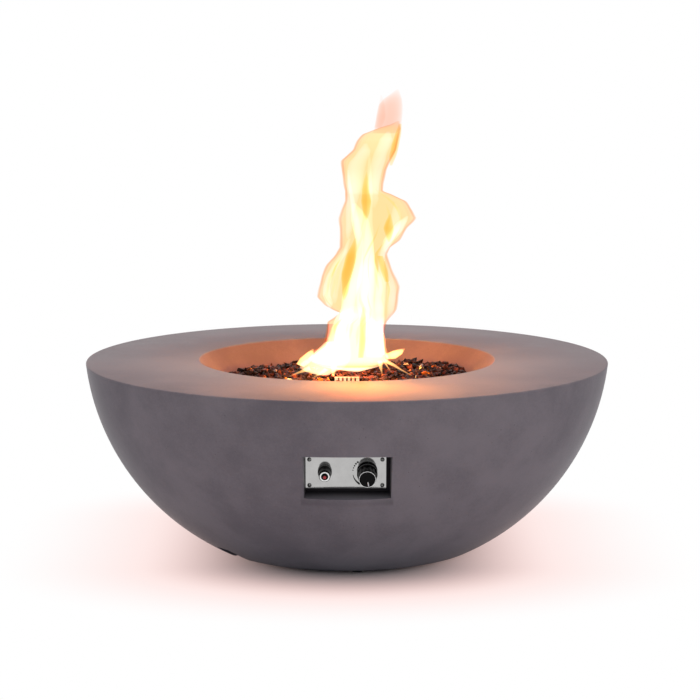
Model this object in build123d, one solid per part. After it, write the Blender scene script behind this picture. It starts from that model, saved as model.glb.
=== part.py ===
from build123d import *
import math
import os
import random

# Gas fire pit: a cast concrete bowl, a bed of crushed stone over a ring burner, and a recessed control panel.
# Millimetres. +Z is up, the ground is z = 0, the bowl's axis is x = y = 0, and the panel faces -Y.

os.makedirs("parts", exist_ok=True)

# Clearances and edges
running_gap = 0.05
passing_gap = 0.3
stone_gap = 0.6
arris = 2.0
turned_sides = 24
large_sides = 48

# Bowl
rim_radius = 533.4
rim_height = 387.0
base_radius = 271.0
side_arc_radius = 482.4
foot_height = 6.0
side_wall = 15.0
rim_thickness = 18.0
base_flange_inner_radius = 225.0
base_flange_thickness = 15.0
well_mouth_radius = 302.7
well_foot_radius = 255.0
well_depth = 61.0
well_wall = 19.0
side_bands = 7
bowl_sides = 96
hollow_levels = 3
ledge_inner_radius = 229.0
ledge_thickness = 14.0

# Hose notch in the bowl's foot
notch_angle = -51.0
notch_width = 52.0
notch_top = 35.0
notch_corner = 12.0

# Feet
foot_count = 4
foot_angle = 4.7
foot_radius = 11.0
foot_taper = 9.0
foot_ring_radius = 247.0

# Control recess and panel, in the panel's own plane
panel_tilt = 10.0
panel_setback = 48.63
panel_below_rim = 148.0
recess_back_width = 156.0
recess_back_top = 36.0
recess_back_bottom = -38.0
recess_side_draft = 5.0
recess_top_draft = 14.9
recess_bottom_draft = 6.5
recess_centre_x = 1.0
recess_reach = 95.0
recess_wall = 14.0
web_thickness = 12.0
window_width = 116.0
window_height = 42.0
plate_width = 149.0
plate_height = 64.0
plate_thickness = 1.5
plate_centre_x = -2.0
plate_screw_inset_x = 7.0
plate_screw_inset_y = 6.5
plate_screw_flats = 4.0
plate_screw_length = 12.0
insert_flats = 7.0
insert_length = 10.5
plate_screw_head = 7.8
plate_screw_head_height = 2.4

# Knob, stem and gas valve, on the knob's axis
knob_x = 37.5
knob_y = 0.0
knob_push = 4.0
valve_nut_clearance = 0.8
knob_front = 36.0
knob_skirt_radius = 19.0
knob_skirt_height = 7.0
knob_grip_radius = 17.8
knob_grip_sides = 12
knob_grip_taper = 3.0
knob_cavity_across = 31.2
knob_cavity_depth = 9.0
knob_wall = 3.5
knob_ring_radius = 14.6
knob_ring_width = 0.9
knob_mark_height = 0.8
pointer_width = 1.8
pointer_length = 8.0
pointer_angle = -80.0
stem_radius = 4.0
stem_flat = 1.2
stem_collar_across = 12.0
stem_collar_length = 1.5
valve_across = 32.0
valve_sides = 8
valve_length = 40.0
valve_face = 4.0
valve_neck_radius = 7.0
valve_neck_front = 3.6
valve_nut_flats = 18.0
valve_nut_height = 2.8
plug_radius = 9.0
plug_front = -15.0
plug_length = 19.0
stem_grip_share = 0.6
manifold_width = 52.0
manifold_height = 18.0
manifold_depth = 18.0
manifold_back = 2.0
port_spread = 28.0
magnet_flats = 14.0
magnet_length = 14.0
sensor_nut_flats = 10.0
sensor_nut_length = 8.0

# Igniter, on the button's axis
igniter_x = -41.0
igniter_y = 1.5
barrel_across = 21.2
barrel_length = 60.5
barrel_shoulder_across = 28.0
barrel_shoulder = 3.0
neck_radius = 9.7
neck_front = 16.0
igniter_nut_radius = 13.0
igniter_nut_height = 7.0
cap_front = 25.0
cap_radius = 12.0
cap_taper = 4.5
cap_end_wall = 2.0
bezel_radius = 9.5
bezel_height = 1.2
button_radius = 6.0
button_stand = 3.2
button_flange_across = 18.6
button_flange_height = 1.2
red_dot_radius = 3.0
red_dot_height = 0.8
battery_radius = 7.2
battery_length = 48.0
battery_tip_across = 5.5
battery_tip_height = 1.5
battery_stand = 0.6

# Springs, each as the sleeve that its coil fills
spring_wire = 0.9
knob_spring_across = 11.0
button_spring_across = 9.0

# Burner pan
pan_sheet = 1.5
pan_radius = 224.0
pan_depth = 48.0
pan_flange_radius = 252.0
drain_width = 5.0
drain_length = 24.0
drain_count = 6
drain_ring_radius = 185.0

# Ring burner, welded from square tube
burner_ring_radius = 120.0
burner_tube = 19.0
burner_sides = 24
burner_stand = 29.5
hub_across = 44.0
hub_height = 20.0
arm_across = 15.0
port_width = 2.0
port_length = 7.0
port_depth = 3.0
ring_port_count = 24
arm_port_count = 3
support_flats = 8.0
support_count = 4
support_angle = 45.0

# Gas feed under the pan
nipple_radius = 10.65
nipple_below_pan = 26.0
locknut_flats = 30.0
locknut_height = 7.0
mixer_radius = 14.5
mixer_flats = 33.0
mixer_length = 56.0
mixer_grip = 18.0
air_window_width = 15.0
air_window_height = 18.0
shutter_radius = 16.5
shutter_margin = 3.0
shutter_lever = 8.0
shutter_lever_width = 8.0
shutter_lever_height = 3.0
jet_hex_height = 9.0
jet_flats = 7.0
jet_stand = 6.0

# Flare fittings, nuts and hoses
flare_radius = 7.94
flare_length = 14.0
flare_cone = 3.0
flare_cone_angle = 45.0
flare_bore = 8.0
few_sides = 8
hose_nut_flats = 20.0
hose_nut_length = 20.0
hose_nut_grip = 10.0
hose_across = 11.0
hose_sides = 8
hose_bend = 48.0
hose_drop = 86.0

# Gas inlet on its bracket, above the notch
inlet_ring_radius = 190.0
inlet_height = 62.0
inlet_hex_flats = 24.0
inlet_hex_height = 8.0
inlet_shank = 8.0
inlet_shank_radius = 9.5
backnut_height = 6.0
bracket_width = 34.0
bracket_sheet = 3.0
bracket_foot_share = 0.62
bracket_side_gap = 4.0
bracket_screw_flats = 6.0
bracket_screw_head = 10.0
bracket_screw_length = 12.0

# Ignition hood, electrode and flame sensor
hood_y = -50.0
hood_width = 50.0
hood_depth = 24.0
hood_height = 74.0
hood_sheet = 1.2
hood_post = 4.0
hood_slope = 7.0
hood_slot_count = 5
hood_slot_pitch = 8.4
hood_slot_width = 3.2
hood_slot_height = 9.0
hood_window_height = 2.4
hood_tab_length = 12.0
hood_tab_share = 0.6
hood_screw_flats = 4.0
hood_screw_head = 7.0
hood_screw_length = 7.0
probe_spread = 12.0
probe_shelf_width = 38.0
probe_shelf_height = 38.0
ceramic_across = 8.0
ceramic_length = 34.0
electrode_flats = 2.4
electrode_length = 14.0
sensor_across = 6.0
sensor_length = 42.0
grommet_across = 11.0
grommet_height = 4.5
lead_across = 3.2
lead_sides = 6
lead_bend = 22.0
lead_drop = 40.0

# Stone bed
bed_rise = 14.0
dome_shares = (1.0, 0.67, 0.33, 0.08)
stone_pitch = 36.0
stone_lift = 0.2
stone_corners = (3, 4, 4, 5)
stone_corner_scatter = (-0.3, 0.3)
stone_lean = (0.05, 0.3)
stone_top_share = (0.45, 0.7)
stone_height_low = 13.0
stone_height_high = 18.0
heap_height_low = 11.0
heap_height_high = 17.0
heap_rings = (98.0, 134.0, 170.0, 206.0)
heaps = ((-20.0, 70.0), (120.0, 215.0))

# Levels that follow from the sizes above
knob_back = knob_push + valve_nut_clearance
knob_face = knob_front - knob_mark_height
ledge_z = rim_height - well_depth
flange_z = ledge_z + pan_sheet
pan_floor_z = ledge_z - pan_depth
burner_z = pan_floor_z + pan_sheet + burner_stand
flange_top = foot_height + base_flange_thickness


def arc_centre(start, end, radius):
    """Centre of the arc from start up to end that bulges away from the bowl's axis."""
    half = math.dist(start, end) / 2
    reach = math.sqrt(radius**2 - half**2)
    along = ((end[0] - start[0]) / (2 * half), (end[1] - start[1]) / (2 * half))
    return (start[0] + end[0]) / 2 - reach * along[1], (start[1] + end[1]) / 2 + reach * along[0]


side_centre = arc_centre((base_radius, foot_height), (rim_radius, rim_height), side_arc_radius)


def side_reach(z, inset):
    """Radius of the bowl's side at a height, moved in by an inset."""
    return side_centre[0] + math.sqrt((side_arc_radius - inset) ** 2 - (z - side_centre[1]) ** 2)


panel_z = rim_height - panel_below_rim
panel_y = panel_setback - side_reach(panel_z, 0)
bracket_foot_length = bracket_foot_share * (side_reach(flange_top, side_wall) - base_flange_inner_radius)


def well_radius(z):
    """Radius of the fire well's tapered wall at a height."""
    share = (z - ledge_z) / well_depth
    return well_foot_radius + share * (well_mouth_radius - well_foot_radius)


def side_points(z_start, z_end, inset, count):
    """Corner points, as radius and height, of equal bands up the bowl's side between two heights."""
    reach = side_arc_radius - inset
    start, end = [math.asin((z - side_centre[1]) / reach) for z in (z_start, z_end)]
    angles = [start + (end - start) * k / count for k in range(count + 1)]
    return [(side_centre[0] + reach * math.cos(a), side_centre[1] + reach * math.sin(a)) for a in angles]


def rod(radius, start, end):
    """Upright round bar between two heights."""
    return Pos(0, 0, start) * extrude(Circle(radius), end - start)


def around(count, radius, start_angle=0.0):
    """Places spaced evenly on a circle about Z, each turned to face outwards."""
    return [Rot(0, 0, start_angle + 360 / count * k) * Pos(radius, 0, 0) for k in range(count)]


def hexagon(flats, start, end):
    """Upright hexagonal bar between two heights."""
    return prism(flats, 6, start, end)


def outline(across, sides):
    """Regular outline with flat sides, measured across its flats."""
    return RegularPolygon(across / 2, sides, rotation=180 / sides, major_radius=False)


def prism(across, sides, start, end, taper=0.0):
    """Upright bar with flat sides between two heights, measured across its flats."""
    return Pos(0, 0, start) * extrude(outline(across, sides), end - start, taper=taper)


def flat_faced(levels):
    """Closed solid of flat faces through levels that have the same number of corners."""
    faces = [Face(Wire.make_polygon(level)) for level in (levels[0], levels[-1])]
    for lower, upper in zip(levels, levels[1:]):
        for k in range(len(lower)):
            after = (k + 1) % len(lower)
            faces.append(Face(Wire.make_polygon([lower[k], lower[after], upper[after], upper[k]])))
    return Solid(Shell(faces))


def stacked(points, sides):
    """Many-sided solid through levels given as radius to the flats and height."""
    turns = [math.pi * (2 * k + 1) / sides for k in range(sides)]
    corner = 1 / math.cos(math.pi / sides)
    return flat_faced([
        [Vector(radius * corner * math.cos(turn), radius * corner * math.sin(turn), z) for turn in turns]
        for radius, z in points
    ])


def ring(outer_across, inner_across, sides, start, end):
    """Upright ring with flat sides between two heights."""
    return prism(outer_across, sides, start, end) - prism(inner_across, sides, start, end)


def room_for(across, sides):
    """Width across flats of a hole that takes a bar with flat sides at any turn."""
    return across / math.cos(math.pi / sides) + 2 * running_gap


def round_within(radius):
    """Width across flats of a turned bar whose corners reach a radius."""
    return 2 * radius * math.cos(math.pi / turned_sides)


def tube_along(points, bend, across, sides):
    """Solid tube of flat sides along straight runs that are joined by tangent arcs."""
    path = FilletPolyline(*points, radius=bend)
    section = Plane(origin=path @ 0, z_dir=path % 0) * RegularPolygon(across / 2, sides, major_radius=False)
    return sweep(section, path=path)


def save(name, *shapes):
    """Write one node's solids to its own file."""
    solids = [solid for shape in shapes for solid in shape.solids()]
    export_step(solids[0] if len(solids) == 1 else Compound(children=solids), f"parts/{name}.step")


# The panel's plane: X to the right, Y up the plate, Z out of the recess towards the user
lean = math.radians(panel_tilt)
on_panel = Plane(
    origin=(0, panel_y, panel_z), x_dir=(1, 0, 0), z_dir=(0, -math.cos(lean), -math.sin(lean))
).location
on_knob = on_panel * Pos(knob_x, knob_y, 0)
on_igniter = on_panel * Pos(igniter_x, igniter_y, 0)
plate_screw_places = [
    Pos(
        plate_centre_x + side * (plate_width / 2 - plate_screw_inset_x),
        level * (plate_height / 2 - plate_screw_inset_y),
        0,
    )
    for side in (-1, 1)
    for level in (-1, 1)
]


def world_point(place):
    """A place's origin as plain coordinates."""
    point = place.position
    return point.X, point.Y, point.Z


def recess_section(reach, margin):
    """The recess's outline at a distance in front of the plate's back, grown by a margin."""
    top = recess_back_top + reach * math.tan(math.radians(recess_top_draft))
    bottom = recess_back_bottom - reach * math.tan(math.radians(recess_bottom_draft))
    width = recess_back_width + 2 * reach * math.tan(math.radians(recess_side_draft))
    section = Rectangle(width + 2 * margin, top - bottom + 2 * margin)
    return Pos(recess_centre_x, (top + bottom) / 2, reach - plate_thickness) * section


bracket_screw_places = [
    Rot(0, 0, notch_angle - 90)
    * Pos(base_flange_inner_radius + bracket_foot_length / 2, side * (notch_width + bracket_width) / 2, 0)
    for side in (-1, 1)
]


def concrete_bowl():
    """The casting: side, rim, tapered well, pan ledge, base flange and the recess with its collar.

    The side's arc is built in bands with many flat sides, and the hidden hollow has fewer of both.
    """
    rim_under = rim_height - rim_thickness
    side = side_points(foot_height, rim_height - arris, 0, side_bands)
    outside = stacked([*side, (rim_radius - arris, rim_height)], bowl_sides)
    well = [(well_foot_radius, ledge_z), (well_mouth_radius, rim_height - arris)]
    outside -= stacked([*well, (well_mouth_radius + 2 * arris, rim_height + arris)], bowl_sides)

    ledge_under = ledge_z - ledge_thickness
    hollow = stacked(side_points(flange_top, rim_under, side_wall, hollow_levels), turned_sides)
    hollow -= stacked([(well_radius(z) + well_wall, z) for z in (ledge_under, rim_under)], turned_sides)
    bowl = outside - hollow
    bowl -= prism(2 * ledge_inner_radius, large_sides, ledge_under, ledge_z)
    bowl -= prism(2 * base_flange_inner_radius, turned_sides, foot_height, flange_top)

    collar = loft([recess_section(-web_thickness, recess_wall), recess_section(recess_reach, recess_wall)])
    bowl += on_panel * collar & outside
    bowl -= on_panel * loft([recess_section(0, 0), recess_section(recess_reach, 0)])

    window = extrude(Rectangle(window_width, window_height), 3 * web_thickness)
    bowl -= on_panel * Pos(plate_centre_x, 0, -2 * web_thickness) * window
    for place in plate_screw_places:
        bowl -= on_panel * place * hexagon(insert_flats, -plate_thickness - insert_length, 0)

    arch = RectangleRounded(notch_width, 2 * (notch_top - foot_height), notch_corner)
    notch_place = Rot(0, 0, notch_angle) * Plane.XZ.offset(base_flange_inner_radius - notch_width).location
    bowl -= notch_place * Pos(0, foot_height, 0) * extrude(arch, 3 * notch_width)
    for place in bracket_screw_places:
        bowl -= place * hexagon(bracket_screw_flats, flange_top - bracket_screw_length + bracket_sheet, flange_top)
    return bowl


def foot_pads():
    """Rubber pads bonded under the base flange, a little narrower at the sole."""
    pad = Pos(0, 0, foot_height) * Rot(180, 0, 0) * prism(2 * foot_radius, turned_sides, 0, foot_height, foot_taper)
    return [place * pad for place in around(foot_count, foot_ring_radius, foot_angle - 90)]


def control_plate():
    """Steel plate with the holes for the valve's neck, the igniter and the corner screws."""
    back = -plate_thickness
    plate = Pos(plate_centre_x, 0, back) * extrude(Rectangle(plate_width, plate_height), plate_thickness)
    for x, y, radius in ((knob_x, knob_y, valve_neck_radius), (igniter_x, igniter_y, neck_radius)):
        hole = room_for(2 * radius, turned_sides)
        plate -= Pos(x, y, 0) * prism(hole, turned_sides, back, 0)
    for place in plate_screw_places:
        plate -= place * hexagon(plate_screw_flats + 2 * passing_gap, back, 0)
    return on_panel * plate


def plate_screws():
    """Four screws through the plate's corners."""
    screw = prism(plate_screw_head, few_sides, 0, plate_screw_head_height)
    screw += hexagon(plate_screw_flats, -plate_screw_length, 0)
    return [on_panel * place * screw for place in plate_screw_places]


def plate_inserts():
    """Six-sided brass inserts cast into the recess's web for the plate's screws."""
    back = -plate_thickness - insert_length
    insert = hexagon(insert_flats, back, -plate_thickness) - hexagon(plate_screw_flats, back, -plate_thickness)
    return [on_panel * place * insert for place in plate_screw_places]


def spring_sleeve(across, start, end):
    """The space that a coil spring fills between two levels, as a thin sleeve."""
    return ring(across + spring_wire, across - spring_wire, few_sides, start, end)


def d_bar(radius, flat, start, end):
    """Round bar with one flat along its length."""
    bar = Circle(radius) & Pos(-flat / 2, 0) * Rectangle(2 * radius - flat, 2 * radius)
    return Pos(0, 0, start) * extrude(bar, end - start)


valve_front = -plate_thickness
collar_front = valve_front - valve_face - running_gap
collar_back = collar_front - stem_collar_length


def valve_stem():
    """D-shaped stem with the collar that stops it behind the valve's face."""
    back = plug_front - plug_length * stem_grip_share
    stem = d_bar(stem_radius, stem_flat, back, knob_front - knob_wall - running_gap)
    return stem + prism(stem_collar_across, few_sides, collar_back, collar_front)


def knob():
    """Moulded knob: round skirt, tapering many-sided grip, hollow back and D-shaped socket."""
    skirt_front = knob_back + knob_skirt_height
    cavity_front = knob_back + knob_cavity_depth
    body = rod(knob_skirt_radius, knob_back, skirt_front)
    body += prism(2 * knob_grip_radius, knob_grip_sides, skirt_front, knob_face, knob_grip_taper)
    body -= prism(knob_cavity_across, turned_sides, knob_back, cavity_front)
    socket_start = knob_back + knob_push
    body += hexagon(2 * (stem_radius + knob_wall), socket_start, cavity_front)
    return body - d_bar(stem_radius + running_gap, stem_flat, socket_start, knob_front - knob_wall)


def knob_ring():
    """Bright ring on the knob's face."""
    return ring(
        2 * knob_ring_radius, 2 * (knob_ring_radius - knob_ring_width), large_sides, knob_face, knob_front
    )


def knob_pointer():
    """Pointer bar on the face, from just inside the ring towards the middle."""
    outer_end = knob_ring_radius - knob_ring_width - passing_gap
    bar = Pos(outer_end - pointer_length / 2, 0) * Rectangle(pointer_length, pointer_width)
    return Rot(0, 0, pointer_angle) * Pos(0, 0, knob_face) * extrude(bar, knob_mark_height)


def flare_end(start):
    """Male flare fitting along +Z from a level: round thread and tapering nose."""
    nose = start + flare_length - flare_cone
    cone = prism(round_within(flare_radius), turned_sides, nose, nose + flare_cone, flare_cone_angle)
    return rod(flare_radius, start, nose) + cone


def thread_end(start):
    """Plain thread end along +Z from a level, where a nut hides it."""
    return prism(round_within(flare_radius), turned_sides, start, start + flare_length)


def nut_bore(radius, start, end):
    """Cutter for a nut's bore, with flats that touch the thread."""
    return prism(2 * (radius + running_gap), few_sides, start, end)


def hose_nut():
    """Union nut over a thread end that starts at z = 0, gripping the hose beyond it."""
    bottom = flare_length - hose_nut_grip
    top = bottom + hose_nut_length
    nut = hexagon(hose_nut_flats, bottom, top) - nut_bore(flare_radius, bottom, flare_length)
    return nut - prism(room_for(hose_across, hose_sides), hose_sides, flare_length, top)


valve_back = valve_front - valve_length
plug_back = plug_front - plug_length
manifold_z = valve_back + manifold_back + manifold_depth / 2
port_places = [
    on_knob * Pos(side * port_spread / 2, -(valve_across + manifold_height) / 2, manifold_z) * Rot(90, 0, 0)
    for side in (-1, 1)
]


def gas_valve():
    """Valve body: threaded neck, plug housing and a cross manifold with two ports down."""
    body = prism(valve_across, valve_sides, valve_back, valve_front)
    body += prism(round_within(valve_neck_radius), turned_sides, valve_front, valve_neck_front)
    block = extrude(Rectangle(manifold_width, manifold_height), manifold_depth)
    body += Pos(0, -valve_across / 2, manifold_z - manifold_depth / 2) * block
    body -= rod(plug_radius + running_gap, valve_back, valve_front - valve_face)
    body -= rod(stem_radius + running_gap, valve_front - valve_face, valve_neck_front)
    body = on_knob * body
    for place in port_places:
        body += place * thread_end(0)
    return body


def valve_nut():
    """Nut on the valve's neck, hidden in the knob's hollow back."""
    nut = hexagon(valve_nut_flats, 0, valve_nut_height)
    return on_knob * (nut - nut_bore(valve_neck_radius, 0, valve_nut_height))


def valve_plug():
    """Turning plug with a D-shaped socket for the stem."""
    socket_back = plug_front - plug_length * stem_grip_share - 2 * passing_gap
    plug = rod(plug_radius, plug_back, plug_front)
    return on_knob * (plug - d_bar(stem_radius + running_gap, stem_flat, socket_back - knob_push, plug_front))


def magnet_unit():
    """Flame-failure unit that closes the valve's back, with a boss for the sensor's lead."""
    body = prism(round_within(plug_radius), turned_sides, valve_back, plug_back - passing_gap)
    return on_knob * (body + hexagon(magnet_flats, valve_back - magnet_length, valve_back))


battery_front = neck_front - battery_tip_height + battery_stand
cap_back = igniter_nut_height + passing_gap
button_front = cap_front + bezel_height + button_stand
button_back = cap_front - cap_end_wall - running_gap - button_flange_height


def igniter_barrel():
    """Plastic barrel behind the plate with a threaded neck through it, open in front for the battery."""
    back = -plate_thickness - barrel_length
    barrel = prism(barrel_across, turned_sides, back, -plate_thickness)
    barrel += prism(barrel_shoulder_across, turned_sides, -plate_thickness - barrel_shoulder, -plate_thickness)
    barrel += prism(2 * neck_radius, turned_sides, -plate_thickness, neck_front)
    bore = 2 * (battery_radius + passing_gap)
    return barrel - prism(bore, turned_sides, battery_front - battery_length - passing_gap, neck_front)


def igniter_nut():
    """Many-sided ring nut that clamps the barrel's neck to the plate."""
    return ring(2 * igniter_nut_radius, 2 * (neck_radius + running_gap), turned_sides, 0, igniter_nut_height)


def igniter_cap():
    """Tapering screw cap over the neck, with an end wall that keeps the button in."""
    cap = prism(2 * cap_radius, turned_sides, cap_back, cap_front, cap_taper)
    cap -= prism(room_for(2 * neck_radius, turned_sides), turned_sides, cap_back, cap_front - cap_end_wall)
    return cap - prism(2 * (button_radius + passing_gap), turned_sides, cap_front - cap_end_wall, cap_front)


def igniter_bezel():
    """Bright ring on the cap's end, round the button."""
    hole = 2 * (button_radius + passing_gap)
    return ring(2 * bezel_radius, hole, large_sides, cap_front, cap_front + bezel_height)


def igniter_button():
    """Push button with a flange that the cap's end wall keeps in."""
    button = prism(2 * button_radius, turned_sides, button_back, button_front)
    return button + prism(button_flange_across, turned_sides, button_back, button_back + button_flange_height)


def red_dot():
    """Red spot on the button's face."""
    return prism(2 * red_dot_radius, turned_sides, button_front, button_front + red_dot_height)


def battery():
    """Dry cell with its tip towards the button."""
    cell = prism(2 * battery_radius, turned_sides, battery_front - battery_length, battery_front)
    return cell + hexagon(battery_tip_across, battery_front, battery_front + battery_tip_height)


def burner_pan():
    """Drop-in pan: flange on the ledge, wall, floor with drains and holes for the feed and leads."""
    inside = 2 * (pan_radius - pan_sheet)
    pan = prism(2 * pan_flange_radius, large_sides, ledge_z, flange_z)
    pan += prism(2 * pan_radius, large_sides, pan_floor_z, ledge_z)
    pan -= prism(inside, large_sides, pan_floor_z + pan_sheet, flange_z)
    floor = (pan_floor_z, pan_floor_z + pan_sheet)
    pan -= prism(room_for(2 * nipple_radius, turned_sides), turned_sides, *floor)
    for place in around(drain_count, drain_ring_radius, 180 / drain_count):
        pan -= place * Box(drain_width, drain_length, 2 * sum(floor))
    for place in probe_places:
        pan -= place * prism(grommet_across, few_sides, *floor)
    for place in hood_screw_places:
        pan -= place * hexagon(hood_screw_flats, *floor)
    return pan


probe_middle = pan_floor_z + pan_sheet + probe_shelf_height
probe_places = [Pos(side * probe_spread, hood_y, 0) for side in (-1, 1)]
hood_screw_places = [Pos(side * (hood_width + hood_tab_length) / 2, hood_y, 0) for side in (-1, 1)]


def ring_burner():
    """Ring of square tube with slotted ports on top, two cross arms, and the hub with its threaded nipple."""
    levels = (burner_z - burner_tube / 2, burner_z + burner_tube / 2)
    burner = ring(
        2 * burner_ring_radius + burner_tube, 2 * burner_ring_radius - burner_tube, burner_sides, *levels
    )
    burner += Pos(0, 0, burner_z) * Box(2 * burner_ring_radius, arm_across, arm_across)
    burner += prism(hub_across, turned_sides, burner_z - hub_height / 2, burner_z + hub_height / 2)
    burner += prism(2 * nipple_radius, turned_sides, pan_floor_z - nipple_below_pan, burner_z)
    slot = Box(port_length, port_width, port_depth)
    for place in around(ring_port_count, burner_ring_radius, 180 / ring_port_count):
        burner -= place * Pos(0, 0, levels[1]) * slot
    step = (burner_ring_radius - hub_across / 2) / (arm_port_count + 1)
    for side in (-1, 1):
        for k in range(arm_port_count):
            x = side * (hub_across / 2 + step * (k + 1))
            burner -= Pos(x, 0, burner_z + arm_across / 2) * slot
    return burner


def burner_supports():
    """Posts between the pan's floor and the ring."""
    post = hexagon(support_flats, pan_floor_z + pan_sheet, burner_z - burner_tube / 2)
    return [place * post for place in around(support_count, burner_ring_radius, support_angle)]


def locknuts():
    """Nuts above and below the pan's floor that clamp the burner's nipple."""
    nuts = []
    for start in (pan_floor_z + pan_sheet, pan_floor_z - locknut_height):
        levels = (start, start + locknut_height)
        bore = prism(2 * (nipple_radius + running_gap), turned_sides, *levels)
        nuts.append(hexagon(locknut_flats, *levels) - bore)
    return nuts


mixer_top = pan_floor_z - nipple_below_pan + mixer_grip
mixer_bottom = mixer_top - mixer_length
shutter_bottom = mixer_bottom + passing_gap
window_z = shutter_bottom + shutter_margin + air_window_height / 2
shutter_top = window_z + air_window_height / 2 + shutter_margin


def air_windows(radius):
    """Cutter for the two opposite air windows."""
    return Pos(0, 0, window_z) * Box(2 * radius, air_window_width, air_window_height)


def air_mixer():
    """Mixing tube under the burner with two air windows and a hexagonal collar above the shutter."""
    mixer = rod(mixer_radius, mixer_bottom, mixer_top)
    mixer += hexagon(mixer_flats, shutter_top + passing_gap, mixer_top)
    mixer -= prism(2 * (nipple_radius + running_gap), turned_sides, mixer_bottom, mixer_top)
    return mixer - air_windows(shutter_radius)


def air_shutter():
    """Sleeve that turns on the mixing tube to open and close the air windows."""
    levels = (shutter_bottom, shutter_top)
    sleeve = prism(2 * shutter_radius, turned_sides, *levels) - air_windows(shutter_radius)
    lever = Box(shutter_lever_width, 2 * shutter_lever, shutter_lever_height)
    sleeve += Pos(0, shutter_radius, shutter_bottom + shutter_lever_height / 2) * lever
    return sleeve - prism(2 * (mixer_radius + running_gap), turned_sides, *levels)


def gas_jet():
    """Jet holder: plug and jet in the mixer, hexagon, and thread end down."""
    plug_top = mixer_bottom + shutter_margin
    jet = hexagon(mixer_flats, mixer_bottom - jet_hex_height, mixer_bottom)
    jet += prism(2 * nipple_radius, turned_sides, mixer_bottom, plug_top)
    jet += hexagon(jet_flats, plug_top, plug_top + jet_stand)
    return jet + jet_place * thread_end(0)


jet_place = Pos(0, 0, mixer_bottom - jet_hex_height) * Rot(180, 0, 0)
inlet_place = Rot(0, 0, notch_angle - 90) * Pos(inlet_ring_radius, 0, inlet_height)
inlet_top_place = inlet_place * Pos(0, 0, bracket_sheet / 2 + inlet_hex_height)


def gas_inlet():
    """Bulkhead fitting with a through bore: flare ends up and down, and a hexagon on the bracket."""
    hex_top = bracket_sheet / 2 + inlet_hex_height
    shank_bottom = -bracket_sheet / 2 - inlet_shank
    body = hexagon(inlet_hex_flats, bracket_sheet / 2, hex_top) + Pos(0, 0, hex_top) * thread_end(0)
    body += prism(2 * inlet_shank_radius, turned_sides, shank_bottom, bracket_sheet / 2)
    body += Pos(0, 0, shank_bottom) * Rot(180, 0, 0) * flare_end(0)
    return inlet_place * (body - prism(flare_bore, few_sides, shank_bottom - flare_length, hex_top + flare_length))


def inlet_backnut():
    """Nut that clamps the gas inlet to its bracket from below."""
    levels = (-bracket_sheet / 2 - backnut_height, -bracket_sheet / 2)
    bore = prism(room_for(2 * inlet_shank_radius, turned_sides), turned_sides, *levels)
    return inlet_place * (hexagon(inlet_hex_flats, *levels) - bore)


def inlet_bracket():
    """Folded steel bridge over the notch with a raised shelf for the gas inlet."""
    shelf_top = inlet_height + bracket_sheet / 2
    wall_r = base_flange_inner_radius + bracket_sheet
    wall_width = notch_width + 2 * bracket_side_gap
    wall_bottom = notch_top + bracket_side_gap
    form = Pos(wall_r - bracket_sheet / 2, 0, (wall_bottom + shelf_top) / 2) * Box(
        bracket_sheet, wall_width, shelf_top - wall_bottom
    )
    shelf_inner = inlet_ring_radius - bracket_width / 2
    form += Pos((shelf_inner + wall_r) / 2, 0, inlet_height) * Box(wall_r - shelf_inner, bracket_width, bracket_sheet)
    foot_middle = base_flange_inner_radius + bracket_foot_length / 2
    for side in (-1, 1):
        leg_y = side * (wall_width - bracket_sheet) / 2
        form += Pos(foot_middle, leg_y, (flange_top + shelf_top) / 2) * Box(
            bracket_foot_length, bracket_sheet, shelf_top - flange_top
        )
        tab_y = side * (notch_width + bracket_width) / 2
        form += Pos(foot_middle, tab_y, flange_top + bracket_sheet / 2) * Box(
            bracket_foot_length, bracket_width - 2 * bracket_side_gap, bracket_sheet
        )
    bracket = Rot(0, 0, notch_angle - 90) * form
    hole = room_for(2 * inlet_shank_radius, turned_sides)
    bracket -= inlet_place * prism(hole, turned_sides, -bracket_sheet, bracket_sheet)
    for place in bracket_screw_places:
        bracket -= place * hexagon(bracket_screw_flats, flange_top, flange_top + bracket_sheet)
    return bracket


def bracket_screws():
    """Screws through the bracket's tabs into the base flange."""
    top = flange_top + bracket_sheet
    screw = hexagon(bracket_screw_head, top, top + bracket_sheet)
    screw += hexagon(bracket_screw_flats, top - bracket_screw_length, top)
    return [place * screw for place in bracket_screw_places]


def hose_nuts():
    """The four union nuts on the two hoses."""
    return [place * hose_nut() for place in (*port_places, jet_place, inlet_top_place)]


def hose_between(start_place, end_place, low_height):
    """Hose from one flare end to another through two bends, led out along both fittings' axes."""
    start = world_point(start_place * Pos(0, 0, flare_length))
    end = world_point(end_place * Pos(0, 0, flare_length))
    start_turn = world_point(start_place * Pos(0, 0, flare_length + hose_nut_length + hose_bend))
    end_turn = (end[0], end[1], low_height)
    return tube_along([start, start_turn, end_turn, end], hose_bend, hose_across, hose_sides)


def burner_hose():
    """Hose from the valve's right port to the jet."""
    low_height = world_point(jet_place)[2] - flare_length - hose_drop
    return hose_between(port_places[1], jet_place, low_height)


def inlet_hose():
    """Hose from the valve's left port to the gas inlet."""
    top_height = world_point(inlet_top_place)[2] + flare_length + hose_nut_length + hose_bend
    return hose_between(port_places[0], inlet_top_place, top_height)


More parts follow.
